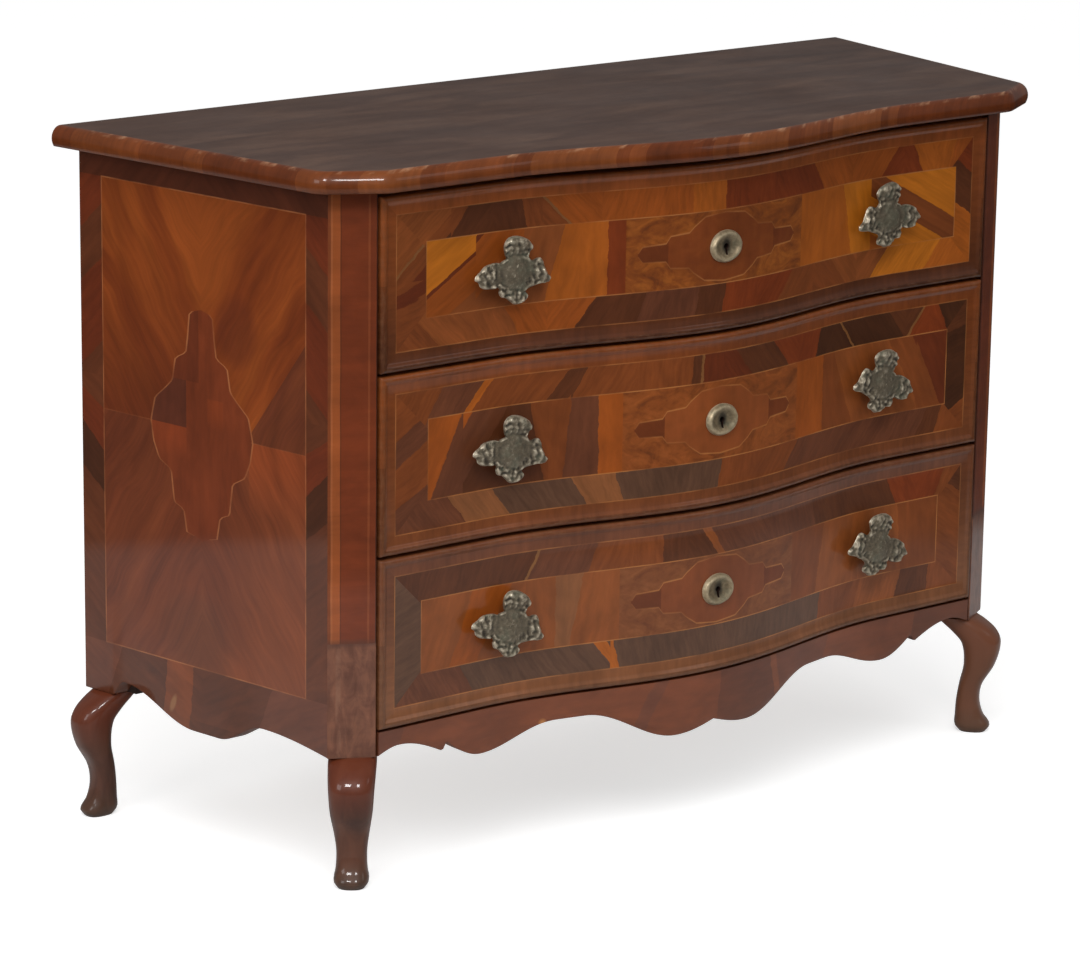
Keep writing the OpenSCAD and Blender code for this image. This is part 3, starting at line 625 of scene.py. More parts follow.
def postFinish():
    # corner posts: an orange strip, a red-brown panel and a thin lighter strip, over a plain foot, with a
    # dark edge beside the drawers that is painted shade
    finish = Finish("postVeneer")
    x, z = finish.plan()
    wander = finish.cloud((x * 20, z * 14)) - 0.5
    share = x / postVeneer["width"] + wander * 0.03
    # the last, dark strip beside the drawers is painted shade
    strips = share.ramp([(0.0, 116, 58, 28), (0.06, 148, 82, 44), (0.10, 140, 72, 33), (0.25, 92, 42, 20),
                         (0.27, 108, 47, 20), (0.80, 122, 60, 30), (0.84, 106, 46, 20), (0.96, 70, 33, 18)],
                        "CONSTANT")
    mottled = finish.cloud((x * 60, z * 26), 4.0, 0.6, 0.6)
    foot = mottled.ramp([(0.34, 94, 56, 40), (0.5, 110, 68, 50), (0.66, 128, 82, 60)])
    rubbed = (abs(share - 0.22) < 0.05) * mottled.span(0.42, 0.6, 0.0, 0.6)
    foot = foot.mix(rubbed, (126, 88, 68))
    colour = foot.mix(z > postVeneer["foot"], strips)
    colour = colour.grain(z, x, 60, 0.22)
    seam = abs(z - postVeneer["foot"] + wander * 0.01).span(0.0008, 0.006, 0.6, 0.0)
    colour = colour.mix(seam, (74, 46, 34))
    height = finish.cloud((x * 200, z * 60), 4.0)
    return finish.close(colour, height.span(0.2, 0.8, 0.36, 0.48), height, 0.22, 0.001, specular=0.16,
                        coat=(0.42, 0.08))


def apronFinish():
    finish = Finish("apronVeneer")
    x, z = finish.plan()
    pieces = ("-500 0 plum, -440 0.5 brown, -105 0.5 plum, -85 0.6 brown, 5 0.1 dark, 100 -0.2 tan, "
              "112 -0.2 plum, 200 0.4 brown, 360 0.2 dark")
    colour = band(x, z - case["legHeight"], pieces)[0]
    colour = colour.mix(0.5, (110, 60, 38))
    colour = colour.grain(z, x, 60, 0.25)
    chip = (((x + 0.2295) ** 2 + (z - 0.1475) ** 2) ** 0.5).span(0.002, 0.0065, 0.9, 0.0)
    colour = colour.mix(chip, (196, 132, 70))
    height = finish.cloud((x * 60, z * 200), 4.0)
    return finish.close(colour, height.span(0.2, 0.8, 0.38, 0.5), height, 0.22, 0.001, specular=0.34,
                        coat=(0.3, 0.16))


def topFinishes():
    # the board is faded and grey-brown on top, and its moulding is warm cross-grain veneer with chips
    flat = Finish("topVeneer")
    x, y, z = flat.metres()
    figure = flat.cloud((x * 5, y * 22), 5.0, 0.6, 0.7)
    pores = flat.cloud((x * 60, y * 260))
    colour = figure.ramp([(0.3, 66, 46, 38), (0.5, 78, 56, 46), (0.7, 92, 68, 55)])
    colour = colour.shaded(pores.vary(0.88, 1.06))
    haze = flat.cloud((x * 6, y * 6), 4.0, 0.6)
    flatMaterial = flat.close(colour, haze.vary(0.42, 0.55),
                              figure * 0.6 + pores * 0.3, 0.12, 0.001, specular=0.25)
    rim = Finish("topMoulding")
    u, z = rim.plan()
    pieces = rim.cloud((u * 7, 0.5), 0.0)
    colour = pieces.ramp([(0.0, 96, 45, 18), (0.42, 112, 57, 25), (0.50, 102, 50, 21), (0.57, 118, 63, 29)],
                         "CONSTANT")
    ribs = rim.cloud((u * 180, z * 18), 4.0, 0.6)
    mellow = rim.cloud((u * 24, z * 30))
    colour = colour.shaded(ribs.vary(0.84, 1.1) * mellow.vary(0.78, 1.2))
    chips = rim.cloud((u * 60, z * 90), 3.0, 0.6)
    crest = z.span(0.8165, 0.8195, 0.0, 1.0) * chips.span(0.54, 0.68, 0.0, 0.75)
    colour = colour.mix(crest, (168, 124, 92))
    rimMaterial = rim.close(colour, 0.42, ribs + chips * 0.5, 0.2, 0.001, specular=0.1,
                            coat=(0.34, 0.06))
    return flatMaterial, rimMaterial


def legFinish():
    finish = Finish("legWood")
    figure = finish.cloud((34, 34, 7), 5.0, 0.6, 0.8)
    pores = finish.cloud((240, 240, 50))
    x, y, z = finish.metres()
    colour = figure.ramp([(0.3, 58, 33, 23), (0.5, 80, 47, 33), (0.7, 96, 58, 41)])
    # the knees are rubbed red-brown and the feet grey, and the right legs are painted lighter, as light
    # reflected from the floor
    colour = colour.mix(z.span(0.085, 0.125, 0.0, 0.6), (104, 42, 16))
    colour = colour.mix(x.span(0.0, 0.4, 0.0, 0.65), (118, 74, 50))
    colour = colour.mix(z.span(0.0, 0.035, 0.6, 0.0), (72, 60, 48))
    return finish.close(colour, pores.vary(0.38, 0.5), figure + pores * 0.4, 0.25, specular=0.16,
                        coat=(0.42, 0.07))


def brassFinish(name, dull, tones, keyhole=False):
    # old cast brass: grey-brown hollows, rubbed crests and a little verdigris
    finish = Finish(name)
    pitted = finish.cloud((330, 330, 330), 5.0, 0.7)
    mottle = finish.cloud((150, 150, 150), 3.0, 0.6)
    stain = finish.cloud((60, 60, 60), 3.0, 0.6)
    ridge = finish.node("NewGeometry", {}, {}, 7)
    crest = ridge.span(0.46, 0.57)
    low, middle, high = tones
    worn = crest * 0.5 + pitted * 0.35 + mottle * 0.25
    colour = worn.ramp([(0.28, *low), (0.52, *middle), (0.78, *high)])
    colour = colour.mix(stain.span(0.5, 0.7, 0.0, 0.4), (106, 112, 94))
    if keyhole:
        # darker round the keyhole: dirt, and painted shade in the dish round the hole
        x, z = finish.plan()
        dirtAndShade = (((x / 0.0064) ** 2 + ((z - 0.0005) / 0.0084) ** 2) ** 0.5).span(0.7, 1.35, 0.92, 0.0)
        colour = colour.mix(dirtAndShade, (44, 38, 28))
    rough = (crest * 0.4 + pitted * 0.6).span(0.2, 0.8, dull + 0.14, dull - 0.14)
    return finish.close(colour, rough, pitted + mottle, 0.5, 0.0008, metallic=0.45)


backBoards = {"count": 5, "joint": 0.0016, "nail": 0.0022, "nailInset": 0.018}


def backFinish():
    # upright boards side by side: each with a tone and figure of its own, dark joints, and nails at both ends
    finish = Finish("backBoards")
    (left, _, foot), (right, _, head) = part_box("back_boards")
    wide = (right - left) / backBoards["count"]
    x, y, z = finish.metres()
    across = (x - left) / wide
    share = across.fraction()
    number = across - share
    figure = finish.cloud((x * 30, number * 3.7, z * 3.0), 5.0, 0.62, 0.6)
    pores = finish.cloud((x * 190, number, z * 18), 3.0, 0.6)
    grime = finish.cloud((x * 5, 0.0, z * 5), 3.0, 0.6)
    age = finish.cloud((number * 5.3, 4.0), 0.0)
    colour = figure.ramp([(0.28, 112, 78, 49), (0.5, 148, 110, 71), (0.72, 174, 136, 94)])
    colour = colour.shaded(grime.vary(0.78, 1.08) * pores.span(0.3, 0.6, 0.86, 1.04) * age.vary(0.84, 1.1))
    joint = (share.least(1 - share) * wide).span(backBoards["joint"] * 0.5, backBoards["joint"], 0.85, 0.0)
    colour = colour.mix(joint, (48, 32, 21))
    fromColumn = abs(abs(share - 0.5) - 0.32) * wide
    fromRow = abs(abs(z - (foot + head) / 2) - (head - foot) / 2 + backBoards["nailInset"])
    fromNail = (fromColumn ** 2 + fromRow ** 2) ** 0.5
    colour = colour.mix(fromNail.span(backBoards["nail"], backBoards["nail"] * 1.6, 0.85, 0.0), (50, 42, 36))
    rough = pores.vary(0.74, 0.6)
    return finish.close(colour, rough, figure + pores * 0.5 - joint, 0.25, specular=0.4)


print("Finishes")
finishes = {
    "side": sideFinish(),
    "post": postFinish(),
    "apron": apronFinish(),
    "leg": legFinish(),
    "brass": brassFinish("castBrass", 0.42, ((62, 55, 45), (112, 101, 83), (194, 182, 160))),
    "plate": brassFinish("keyholeBrass", 0.46, ((86, 73, 52), (142, 125, 97), (202, 184, 152)), True),
    "back": backFinish(),
    "pineAcross": plainWood("pineRails", (112, 78, 48), (150, 110, 70), (176, 138, 92), (3.2, 26, 26), 0.66),
    "pineDeep": plainWood("pineSides", (116, 80, 50), (154, 114, 72), (180, 140, 96), (26, 3.2, 26), 0.64),
    "rearPost": plainWood("rearPosts", (30, 18, 12), (42, 26, 18), (54, 34, 24), (26, 26, 3.2), 0.6),
    # the rails are nearly black, as painted shade in the gaps round the drawers
    "rail": plainWood("darkRails", (26, 14, 10), (38, 22, 15), (52, 31, 21), (4, 30, 30), 0.55),
    "core": plainWood("frontCore", (104, 66, 40), (136, 92, 58), (160, 114, 76), (4, 30, 30), 0.62),
    "iron": plainWood("lockIron", (52, 48, 45), (74, 69, 64), (98, 90, 82), (40, 40, 40), 0.5, 0.3),
}
finishes["topFlat"], finishes["topRim"] = topFinishes()
for drawerName in drawerNames:
    finishes[drawerName] = drawerFinish(drawerName)

frontShape = {
    "thick": 0.022,
    # section of the moulded edge: distance in from the edge, and height
    "bead": [(0.0, 0.0), (0.0003, 0.0009), (0.0010, 0.0018), (0.0022, 0.0026), (0.0038, 0.0030),
             (0.0056, 0.0029), (0.0072, 0.0022), (0.0086, 0.0012), (0.0098, 0.0004), (0.0110, 0.0)],
    "columns": 84,
    "rows": 10,
    "lockGap": 0.0003,        # play beside the lock case, and behind and under it
    "lockBed": 0.0001,
}


def beadOut(edge):
    # how far the moulded edge stands proud, by distance from the edge of the front
    steps = frontShape["bead"]
    for (d0, o0), (d1, o1) in zip(steps, steps[1:]):
        if edge <= d1:
            return o0 + (o1 - o0) * (edge - d0) / (d1 - d0)
    return 0


def makeDrawerFront(name):
    half = case["drawerHalf"]
    foot = drawerFoot[name]
    tall = drawerTall[name]
    beads = [d for d, out in frontShape["bead"]]
    n = frontShape["columns"]
    m = frontShape["rows"]
    inX = half - beads[-1]
    xs = [-half + d for d in beads] + [-inX + 2 * inX * k / n for k in range(1, n)]
    xs += [half - d for d in reversed(beads)]
    inZ = tall - 2 * beads[-1]
    zs = beads + [beads[-1] + inZ * k / m for k in range(1, m)] + [tall - d for d in reversed(beads)]

    def spots(x, layer):
        outs = [-frontShape["thick"] if layer else beadOut(min(half - abs(x), z, tall - z)) for z in zs]
        return [((*frontPoint(x, out), foot + z), (x, z - tall / 2)) for z, out in zip(zs, outs)]

    front = makeSlab(name + "_veneered_front", name + "_drawer_front", name + "_drawer", xs, spots,
                     name + " core rail", 50)
    # the recess of the lock case is open at the back and at the top
    (left, near, low), (right, far, high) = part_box(name + "_lock_case")
    gap, bed = frontShape["lockGap"], frontShape["lockBed"]
    recess = boxCutter((left - gap, near - bed, low - bed), (right + gap, far + 0.02, foot + tall + 0.001))
    carve(front, [recess, keyCutter(foot + tall / 2, near - 0.05, near + 0.003)])


print("Drawer fronts")
for drawerName in drawerNames:
    makeDrawerFront(drawerName)


apronShape = {
    "keys": [(0, -30, 1), (0.12, -41, 0), (0.38, -1, 0), (0.46, -1, 0), (0.68, -25, 0), (0.787, -2, 1),
             (0.802, -11, 1), (0.935, 8, 0), (1, 0, 1)],
    "head": 0.1778,
    "thick": 0.0223,
    "columns": 300,
}


def edgedBoard(name, node, columns, lower, head, place, thick, looks):
    # an upright board with a shaped lower edge: place(u, out) gives x and y, lower(u) the height of the edge
    rounding = [(0.0, -0.0012), (0.0004, -0.0004), (0.0012, 0.0)]
    soft = rounding[-1][0]
    rows = 6

    def spots(u, layer):
        low = lower(u)
        levels = [(low + lift, sink) for lift, sink in rounding]
        levels += [(low + soft + (head - low - soft) * k / rows, 0) for k in range(1, rows + 1)]
        return [((*place(u, -thick if layer else sink), z), (u, z)) for z, sink in levels]

    makeSlab(name, node, "case", columns, spots, looks, 40)


print("Apron and sides")
half = case["drawerHalf"]
steps = apronShape["columns"]
edgedBoard("shaped_apron", "front_apron", [-half + 2 * half * k / steps for k in range(steps + 1)],
           lambda x: case["legHeight"] + scallop(apronShape["keys"], min(1, abs(x) / half)),
           apronShape["head"], frontPoint, apronShape["thick"], "apron core")

sideShape = {
    "keys": [(0, 0, 0), (0.12, 0, 1), (0.165, 19, 0), (0.46, -15, 0), (0.56, -15, 0), (0.74, 12, 0),
             (1, 0, 1)],
    "thick": 0.0197,
    "columns": 130,
}
flare = atan((case["backX"] - case["cornerX"]) / case["sideDepth"])
underTop = 0.0001             # sides and posts end just under the top


def sidePlace(side):
    # x and y on a side panel, by distance from the back
    def spot(depth, out):
        x = case["backX"] - depth * tan(flare) + out / cos(flare)
        return (side * x, case["middleY"] - depth)
    return spot


for side, word in ((-1, "left"), (1, "right")):
    columns = [case["sideDepth"] * k / sideShape["columns"] for k in range(sideShape["columns"] + 1)]
    edgedBoard("veneered_side_" + word, "side_panel_" + word, columns if side < 0 else columns[::-1],
               lambda d: case["legHeight"] + scallop(sideShape["keys"], min(1, d / case["sideDepth"])),
               case["caseTop"] - underTop, sidePlace(side), sideShape["thick"],
               "side pineDeep")


postShape = {"lip": 0.0224, "deep": 0.038, "thick": 0.020, "slant": 0.0063, "soft": 0.0014, "innerX": 0.452,
             "cant": 0.056, "steps": 8, "levels": 12}


def makePost(side, word):
    # a post on the canted corner, with softened arrises
    cantX, cornerX = case["cantX"], case["cornerX"]
    frontY = case["middleY"] - case["frontDepth"]
    sideY = case["middleY"] - case["sideDepth"]
    lipY = frontY + postShape["lip"]
    rearY = sideY + postShape["deep"]
    inner = cornerX - postShape["thick"] / cos(flare)
    soft = postShape["soft"]
    cantLength = hypot(cornerX - cantX, sideY - frontY)
    ux = (cornerX - cantX) / cantLength
    uy = (sideY - frontY) / cantLength
    outline = [(cantX, lipY, postShape["cant"]), (cantX, frontY + soft, postShape["cant"])]
    for k in range(postShape["steps"] + 1):
        along = soft + (cantLength - 2 * soft) * k / postShape["steps"]
        outline.append((cantX + ux * along, frontY + uy * along, cantLength - along))
    outline += [(cornerX - 0.0002, sideY, 0.0), (inner, sideY, 0.0), (inner + postShape["slant"], rearY, 0.0),
                (postShape["innerX"], rearY, 0.0), (postShape["innerX"], lipY, 0.0)]
    low = case["legHeight"]
    high = case["caseTop"] - underTop
    rows = postShape["levels"]
    levels = [low, low + 0.001] + [low + (high - low) * k / rows for k in range(1, rows)] + [high]
    n = len(outline)
    points = [(side * x, y, z) for z in levels for x, y, u in outline]
    sheet = [(u, z) for z in levels for x, y, u in outline]
    faces = stackFaces(len(levels), n)
    if side > 0:
        faces = flipped(faces)
    makePiece("canted_post_" + word, "corner_post_" + word, points, faces, "case", "post",
              sheet)


legShape = {
    # share of the height, inner face, outer face and width in millimetres
    "stations": [(0, -14, 19, 31), (0.05, -20, 24, 40), (0.14, -20, 15, 36), (0.27, -19, 10, 35),
                 (0.41, -16, 13, 40), (0.59, -11, 28, 48), (0.77, -15, 34, 52), (0.87, -28, 28, 54),
                 (0.95, -42, 14, 55), (1, -50, 1, 54)],
    "rings": 48,
    "sides": 56,
    "square": 0.76,           # the less, the squarer the sections
    # where a leg stands, from the middle of the case and from its back, its turn in degrees and narrowing
    "front": (0.487, -0.404, 40, 1),
    "rear": (case["backX"] - 0.024 * tan(flare) + 0.002, -0.024, 90, 0.82),
}


def station(share):
    # a smooth curve through the sections
    s = legShape["stations"]
    i = min(len(s) - 2, max(k for k in range(len(s)) if share >= s[k][0] - 1e-9))
    a, b, c, d = s[max(0, i - 1)], s[i], s[i + 1], s[min(len(s) - 1, i + 2)]
    w = c[0] - b[0]
    u = (share - b[0]) / w
    values = []
    for k in (1, 2, 3):
        mb = (c[k] - a[k]) / (c[0] - a[0]) * w
        mc = (d[k] - b[k]) / (d[0] - b[0]) * w
        values.append((2 * u ** 3 - 3 * u * u + 1) * b[k] + (u ** 3 - 2 * u * u + u) * mb
                      + (3 * u * u - 2 * u ** 3) * c[k] + (u ** 3 - u * u) * mc)
    return values


def squared(v):
    return copysign(abs(v) ** legShape["square"], v)


def makeLeg(end, side, word):
    # turns are written for the right side, and the left one is its mirror image
    spotX, spotY, turn, narrow = legShape[end]
    name = end + "_" + word
    points = []
    n = legShape["sides"]
    c = cos(radians(turn))
    s = sin(radians(turn))
    for j in range(legShape["rings"] + 1):
        share = j / legShape["rings"]
        inner, outer, width = station(share)
        for i in range(n):
            a = 2 * pi * (i + 0.5) / n
            x = squared(cos(a)) * width / 2 * narrow / 1000
            y = (squared(sin(a)) * (outer - inner) / 2 - (inner + outer) / 2) / 1000
            points.append((side * (spotX + x * c - y * s), case["middleY"] + spotY + x * s + y * c,
                           share * case["legHeight"]))
    faces = stackFaces(legShape["rings"] + 1, n)
    if side < 0:
        faces = flipped(faces)
    makePiece("cabriole_" + name, "leg_" + name, points, faces, "case", "leg", sharp=60)


print("Posts and legs")
for side, word in ((-1, "left"), (1, "right")):
    makePost(side, word)
    makeLeg("front", side, word)
    makeLeg("rear", side, word)


topShape = {
    "over": 0.033,
    "overBack": 0.004,
    # under the widest place: distance in from it, and height above the case
    "under": [(0.0036, 0.0), (0.0023, 0.0008), (0.0011, 0.0036), (0.0002, 0.0068), (0.0, 0.0096)],
    "thumb": (0.012, 0.0144),  # depth and height of the moulding above it
    "thumbSteps": 10,
    "swellSteps": 70,
}


def topOutline(out):
    # half outline from the back corner to the start of the swell, then the swell, then the other half
    cantTurn = degrees(atan2(case["cornerX"] - case["cantX"], case["frontDepth"] - case["sideDepth"]))
    back = case["backX"] - topShape["overBack"] * -tan(flare) + out / cos(flare)
    half = [(-back, topShape["overBack"])]
    turns = (180 + degrees(flare), 180 + cantTurn, 270)
    for x, y, first, last, steps in ((case["cornerX"], case["sideDepth"], *turns[:2], 10),
                                     (case["cantX"], case["frontDepth"], *turns[1:], 6)):
        for k in range(steps + 1):
            a = radians(first + (last - first) * k / steps)
            half.append((out * cos(a) - x, out * sin(a) - y))
    n = topShape["swellSteps"]
    line = []
    for k in range(-n, n + 1):
        x, y = frontPoint(k * case["swellWidth"] / 2 / n, out)
        line.append((x, y - case["middleY"]))
    whole = half + line + [(-x, y) for x, y in reversed(half)]
    return [(x, y + case["middleY"]) for x, y in whole]


def makeTop():
    profile = [(topShape["over"] - inset, case["caseTop"] + lift) for inset, lift in topShape["under"]]
    deep, tall = topShape["thumb"]
    for k in range(1, topShape["thumbSteps"] + 1):
        a = radians(90 * k / topShape["thumbSteps"])
        profile.append((topShape["over"] - deep * (1 - cos(a)), profile[4][1] + tall * sin(a)))
    points = []
    sheet = []
    for out, z in profile:
        outline = topOutline(out)
        run = 0
        for k, (x, y) in enumerate(outline):
            if k:
                run += hypot(x - outline[k - 1][0], y - outline[k - 1][1])
            points.append((x, y, z))
            sheet.append((run, z))
    n = len(outline)
    faces = stackFaces(len(profile), n, False)
    kinds = [1] * len(faces) + [0] * (n - 2)
    for base in (0, (len(profile) - 1) * n):
        quads = [(base + i, base + i + 1, base + n - 2 - i, base + n - 1 - i) for i in range(n // 2 - 1)]
        faces += quads if base else flipped(quads)
    makePiece("moulded_top", "top_board", points, faces, "case", "topFlat topRim", sheet,
              kinds, 40)


print("Top")
makeTop()

pullShape = {
    # outline of a left pull about its post, in millimetres
    "outline": [(46.8, 2.6), (44, 9.5), (39.5, 14), (34, 13.6), (29, 11.4), (24.3, 12.8), (21.8, 17.2),
                (24.6, 22.9), (26.3, 28.6), (22.1, 34.1), (15.6, 37.3), (7.4, 39.6), (0.5, 40.3),
                (-5.1, 39.6), (-10.6, 37), (-14.2, 31.6), (-14.3, 25.1), (-12.1, 18.6), (-9.9, 14.6),
                (-14.4, 12), (-18.8, 9.6), (-25.6, 10), (-33.5, 8.7), (-41.2, 5.8), (-46.4, 0.5),
                (-52.2, -5), (-53, -9.8), (-47.8, -12.6), (-45.2, -17), (-39.4, -20), (-33.7, -20.4),
                (-27, -19.8), (-21.4, -18.4), (-17.2, -21), (-17.5, -25.5), (-13.7, -30.3), (-7.5, -31.4),
                (-2.1, -34.5), (4, -38.6), (10.8, -39.2), (16.3, -36.6), (22.6, -34.6), (24.2, -30.6),
                (20.6, -26.4), (22.4, -22.6), (27.8, -20), (34.5, -18), (41.2, -16), (49.3, -15.6),
                (55.6, -13.5), (55.8, -9), (50, -4)],
    "widthScale": 104 / 109,
    "heightScale": 78 / 79.5,
    "x": 0.288,
    "back": 14.3,             # back of the casting, in millimetres out from the drawer front
    # radius of the boss, and how far out it is
    "boss": [(4.2, 8.35), (7.9, 8.35), (8.4, 8.8), (8.5, 11.0), (8.3, 14.9), (4.2, 14.9)],
    "leftTurns": [4, 9, 14],
    "rightTurns": [0, 12, 12],
    # swellings of the casting: place, reach along and across, turn in degrees, height
    "lobes": [(5, 29, 15, 10, 0, 4.2), (3, -6, 16, 17, 0, 4.6), (-33, -6, 17, 9, 12, 3.2),
              (37, -4, 16, 9, -12, 3.2), (4, 12, 9, 8, 0, 2.6), (8, -31, 12, 7, 0, 3.0),
              (-46, -8, 5, 5, 0, 1.8), (50, -9, 5, 5, 0, 1.6), (19, -30, 4, 4, 0, 1.4),
              (-12, -27, 4.5, 4.5, 0, 1.8)],
    "rings": 28,
}


def smoothOutline(points, parts):
    # a closed Catmull-Rom curve through the outline
    n = len(points)
    result = []
    for k in range(n):
        p0, p1, p2, p3 = (points[(k + i - 1) % n] for i in range(4))
        for step in range(parts):
            u = step / parts
            result.append(tuple(0.5 * (2 * p1[i] + (p2[i] - p0[i]) * u
                                       + (2 * p0[i] - 5 * p1[i] + 4 * p2[i] - p3[i]) * u * u
                                       + (3 * p1[i] - p0[i] - 3 * p2[i] + p3[i]) * u ** 3) for i in (0, 1)))
    return result


def castingHeight(x, y, share, angle):
    # relief of a casting in millimetres, from its lobes, fluting towards the rim and a rolled edge
    height = 0
    for cx, cy, rx, ry, turn, tall in pullShape["lobes"]:
        u, v = turned(x - cx, y - cy, -radians(turn))
        height = max(height, tall * exp(-((u / rx) ** 2 + (v / ry) ** 2) * 1.1))
    def rough(scale, seed):
        return noise.noise(Vector((x * scale, y * scale, seed)))

    wing = min(1, max(0, (hypot(x * 0.8, y) - 15) / 8))
    twist = rough(0.09, 1.3) * 3
    flute = sin(hypot(x, y * 1.3) * 0.8 + 1.2 * sin(angle * 3) + twist) * 0.4 * wing
    curl = rough(0.20, 3.7) * 2.5 * min(1, max(0.2, wing))
    grit = rough(0.50, 7.1) * 0.5 * min(1, max(0.3, wing))
    roll = 0.7 * exp(-((share - 0.9) / 0.06) ** 2)
    shield = 0.45 * exp(-((hypot((x - 3) / 13, (y + 5) / 14) - 1) / 0.2) ** 2)
    return 2.6 + height + flute + curl + grit + roll + shield


def makePull(name, side):
    shape = pullShape
    outline = [(x * shape["widthScale"], y * shape["heightScale"])
               for x, y in smoothOutline(shape["outline"], 4)]
    n = len(outline)
    rings = shape["rings"]
    local = []
    for j in range(rings + 1):
        share = 1 - j / rings
        edge = 1.0 if j else 0.985
        # the last ring is one point in the middle
        for x, y in outline if j < rings else outline[:1]:
            px = x * share * edge
            py = y * share * edge
            height = castingHeight(px, py, share, atan2(y, x)) if j else 1.4
            local.append((px, py, min(height, 8.9)))
    for share, lift in ((1.0, 0.9), (0.985, 0.3), (0.95, 0.0)):
        local += [(x * share * 0.995, y * share * 0.995, lift) for x, y in outline]
    centre = rings * n
    base = centre + 1
    faces = stackFaces(rings, n, False)
    faces += [(a, b, centre) for a, b, c, d in ringFaces(centre - n, 0, n)]
    last = base + 2 * n
    for trio in zip(ringFaces(base, 0, n), ringFaces(base + n, base, n), ringFaces(last, base + n, n)):
        faces += trio
    faces.append(tuple(range(last + n - 1, last - 1, -1)))
    turn = radians(shape["leftTurns" if side < 0 else "rightTurns"][drawerNames.index(name)])
    px, py = frontPoint(side * shape["x"], 0)
    swing = atan(bellSlope(side * shape["x"]))
    middle = drawerFoot[name] + drawerTall[name] / 2

    def onFront(x, z, out):
        # from millimetres about the post to a point in front of the drawer
        return (px + (x * cos(swing) + out * sin(swing)) / 1000,
                py + (x * sin(swing) - out * cos(swing)) / 1000, middle + z / 1000)

    points = [onFront(*turned(-side * x, y, -turn), shape["back"] + lift) for x, y, lift in local]
    if side > 0:
        faces = flipped(faces)
    word = "left" if side < 0 else "right"
    body = name + "_" + word + "_pull"
    makePiece(name + "_cast_pull_" + word, name + "_pull_" + word, points, faces, body, "brass",
              sharp=50)
    # the round boss behind the casting turns on its post
    m = 40
    around = [(cos(2 * pi * i / m), sin(2 * pi * i / m)) for i in range(m)]
    points = [onFront(r * c, r * s, lift) for r, lift in shape["boss"] for c, s in around]
    makePiece(name + "_pull_boss_" + word, "", points, stackFaces(len(shape["boss"]), m, False), body,
              "brass", sharp=40)


plateShape = {
    "halfWidth": 23.5,        # millimetres
    "halfHeight": 19,
    # distance in from the edge and out from the drawer front, in millimetres
    "profile": [(0.0, 0.1), (0.0, 1.5), (0.3, 2.3), (1.0, 3.4), (1.9, 4.8), (2.9, 5.7), (4.0, 6.0),
                (5.1, 5.8), (6.2, 5.2), (7.6, 4.2), (9.0, 3.2), (11.0, 2.4), (13.0, 1.9), (15.0, 1.7)],
    "around": 84,
}


def makePlate(name):
    middle = drawerFoot[name] + drawerTall[name] / 2
    frontY = case["middleY"] - case["frontDepth"] - case["swell"]
    n = plateShape["around"]
    points = []
    sheet = []
    for inset, lift in plateShape["profile"]:
        for i in range(n):
            a = 2 * pi * i / n
            nick = 0.3 * noise.noise(Vector((cos(a) * 3, sin(a) * 3, inset * 0.3 + middle * 40)))
            x = (plateShape["halfWidth"] - inset) * cos(a) / 1000
            z = (plateShape["halfHeight"] - inset) * sin(a) / 1000
            sheet.append((x, z))
            points.append((x, frontY - (lift + (nick if 2 < lift < 5.9 else 0)) / 1000, middle + z))
    faces = stackFaces(len(plateShape["profile"]), n)
    faces[-2:] = faces[-1], faces[-2]    # the cut depends on this order
    plate = makePiece(name + "_keyhole_plate", name + "_escutcheon", points, faces, name + "_drawer",
                      "plate rail", sheet, None, 45)
    carve(plate, [keyCutter(middle, frontY - 0.01, frontY + 0.01)])


print("Pulls and keyhole plates")
for drawerName in drawerNames:
    makePull(drawerName, -1)
    makePull(drawerName, 1)
    makePlate(drawerName)

print("Finishes of the plain pieces")
plainPieces = {
    "back": "back_boards",
    "rearPost": "rear_post_left rear_post_right",
    "rail": "top_rail upper_rail lower_rail bottom_rail",
    "pineAcross": "bottom_board back_rails glue_blocks",
    "pineDeep": "kickers upper_runners lower_runners floor_guides",
}
drawerPieces = {
    "pineAcross": "drawer_back drawer_bottom",
    "pineDeep": "drawer_side_left drawer_side_right",
    "iron": "lock_case lock_bolt",
    "brass": "pull_posts",
}


def dress(nodeName, finishName):
    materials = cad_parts[nodeName].data.materials
    materials.clear()
    materials.append(finishes[finishName])


for finishName, words in plainPieces.items():
    for word in words.split():
        dress(word, finishName)
for finishName, words in drawerPieces.items():
    for word in words.split():
        for drawerName in drawerNames:
            dress(drawerName + "_" + word, finishName)

print("Camera, floor and lights")
view = {
    "turn": -39.21,           # degrees from the front
    "rise": 14.29,
    "roll": 0.79,
    "away": 5.176,
    "aim": (0.0, -0.0535, 0.4),
    "offset": (0.1056, 0.0199),
    "lens": 144.8,
}


def makeCamera():
    a = radians(view["turn"])
    e = radians(view["rise"])
    back = Vector((sin(a) * cos(e), -cos(a) * cos(e), sin(e)))
    right = Vector((cos(a), sin(a), 0))
    up = back.cross(right)
    c = cos(radians(view["roll"]))
    s = sin(radians(view["roll"]))
    across = c * right + s * up
    upward = c * up - s * right
    spot = Vector(view["aim"]) - view["offset"][0] * across - view["offset"][1] * upward + view["away"] * back
    data = bpy.data.cameras.new("camera")
    data.lens = view["lens"]
    data.sensor_width = 36
    data.sensor_fit = "HORIZONTAL"
    data.clip_end = 100
    camera = added("camera", data)
    camera.matrix_world = Matrix.Translation(spot) @ Matrix((across, upward, back)).transposed().to_4x4()
    bpy.context.scene.camera = camera


studio = {
    "sheet": 1.5,             # reach of the white sheet under the commode, to the front
    "sheetTone": 0.7,
    "beyond": 0.05,           # the studio floor past the sheet, which only reflections see
    "glow": 0.60,             # lifts the sheet to white in the picture and keeps its shadow
    "fill": 0.55,
    "gloss": 0.25,
}


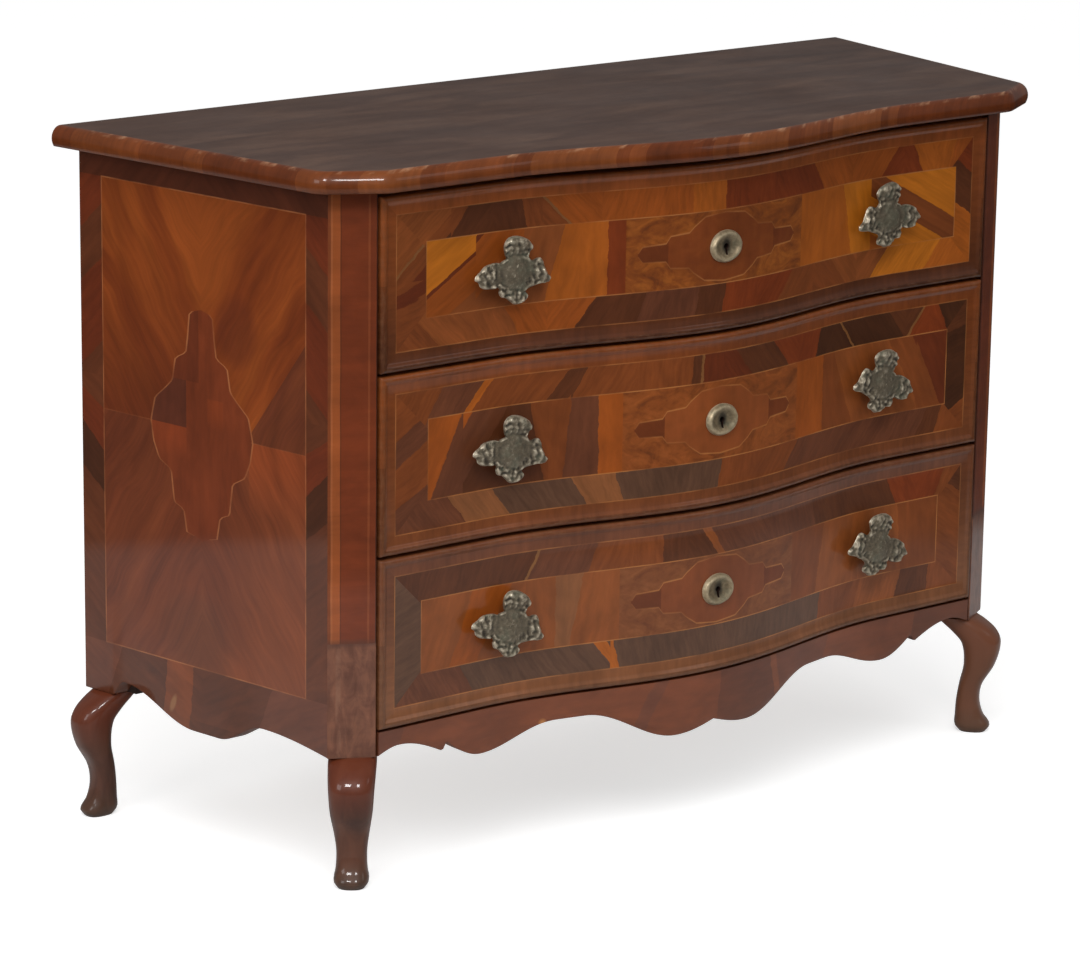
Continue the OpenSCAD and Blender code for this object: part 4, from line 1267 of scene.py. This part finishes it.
def makeFloor():
    reach = 16
    corners = [(-reach, -reach, 0), (reach, -reach, 0), (reach, reach, 0), (-reach, reach, 0)]
    floor = added("floor", newMesh("floor", corners, [(0, 1, 2, 3)]))
    finish = Finish("floor")
    seen = finish.node("LightPath", {}, {}, 0)
    place = finish.place((0.88, 1.05, 0))
    spot = finish.node("VectorMath", {"operation": "ADD"}, {0: place, 1: (0.22, 0, 0)})
    far = finish.node("VectorMath", {"operation": "LENGTH"}, {0: spot}, 1)
    onSheet = far.span(studio["sheet"] - 0.04, studio["sheet"] + 0.04, 1.0, 0.0)
    pale = studio["sheetTone"]
    dim = studio["beyond"]
    sheetColour = finish.mix(onSheet.most(seen), (dim, dim, dim, 1), (pale, pale, pale, 1))
    matt = finish.node("BsdfDiffuse", {}, {"Color": sheetColour})
    glow = finish.node("Emission", {}, {"Color": (1, 1, 1, 1), "Strength": studio["glow"]})
    both = finish.node("AddShader", {}, {0: matt, 1: glow})
    mixed = finish.node("MixShader", {}, {0: seen, 1: matt, 2: both})
    finish.node("OutputMaterial", {}, {"Surface": mixed})
    floor.data.materials.append(finish.material)


def makeWorld():
    world = bpy.data.worlds.new("studio")
    bpy.context.scene.world = world
    finish = Finish("studio", world)
    camera, glossy, through = (finish.node("LightPath", {}, {}, out) for out in (0, 3, 6))
    plain, sheen, white = (finish.node("Background", {}, {"Color": (1, 1, 1, 1), "Strength": strength})
                           for strength in (studio["fill"], studio["gloss"], 1.0))
    lit = finish.node("MixShader", {}, {0: glossy, 1: plain, 2: sheen})
    mixed = finish.node("MixShader", {}, {0: camera.most(through), 1: lit, 2: white})
    finish.node("OutputWorld", {}, {"Surface": mixed})


def makeLamp(name, spot, aim, width, power, diffuse=True, glossy=True):
    data = bpy.data.lights.new(name, "AREA")
    data.shape = "RECTANGLE"
    data.size = width
    data.size_y = width
    data.energy = power
    lamp = added(name, data)
    lamp.visible_diffuse = diffuse
    lamp.visible_glossy = glossy
    away = Vector(spot) - Vector(aim)
    lamp.rotation_euler = away.to_track_quat("Z", "Y").to_euler()
    lamp.location = spot


bpy.context.scene.view_settings.view_transform = "Standard"
makeCamera()
makeFloor()
makeWorld()
makeLamp("highLamp", (-1.4, -1.6, 3.0), (0, 0, 0.4), 2.3, 58, True, False)
makeLamp("sideLamp", (-3.4, -0.6, 1.8), (0, 0, 0.4), 1.2, 22)
makeLamp("rightLamp", (1.8, -2.6, 2.0), (0.2, 0, 0.5), 1.0, 4)
# two small lamps that only the varnish and the brass reflect
makeLamp("sparkLeft", (-2.45, -1.8, 2.6), (0, 0, 0.4), 0.58, 46, False)
makeLamp("sparkRight", (-1.4, -2.7, 2.6), (0, 0, 0.4), 0.58, 46, False)
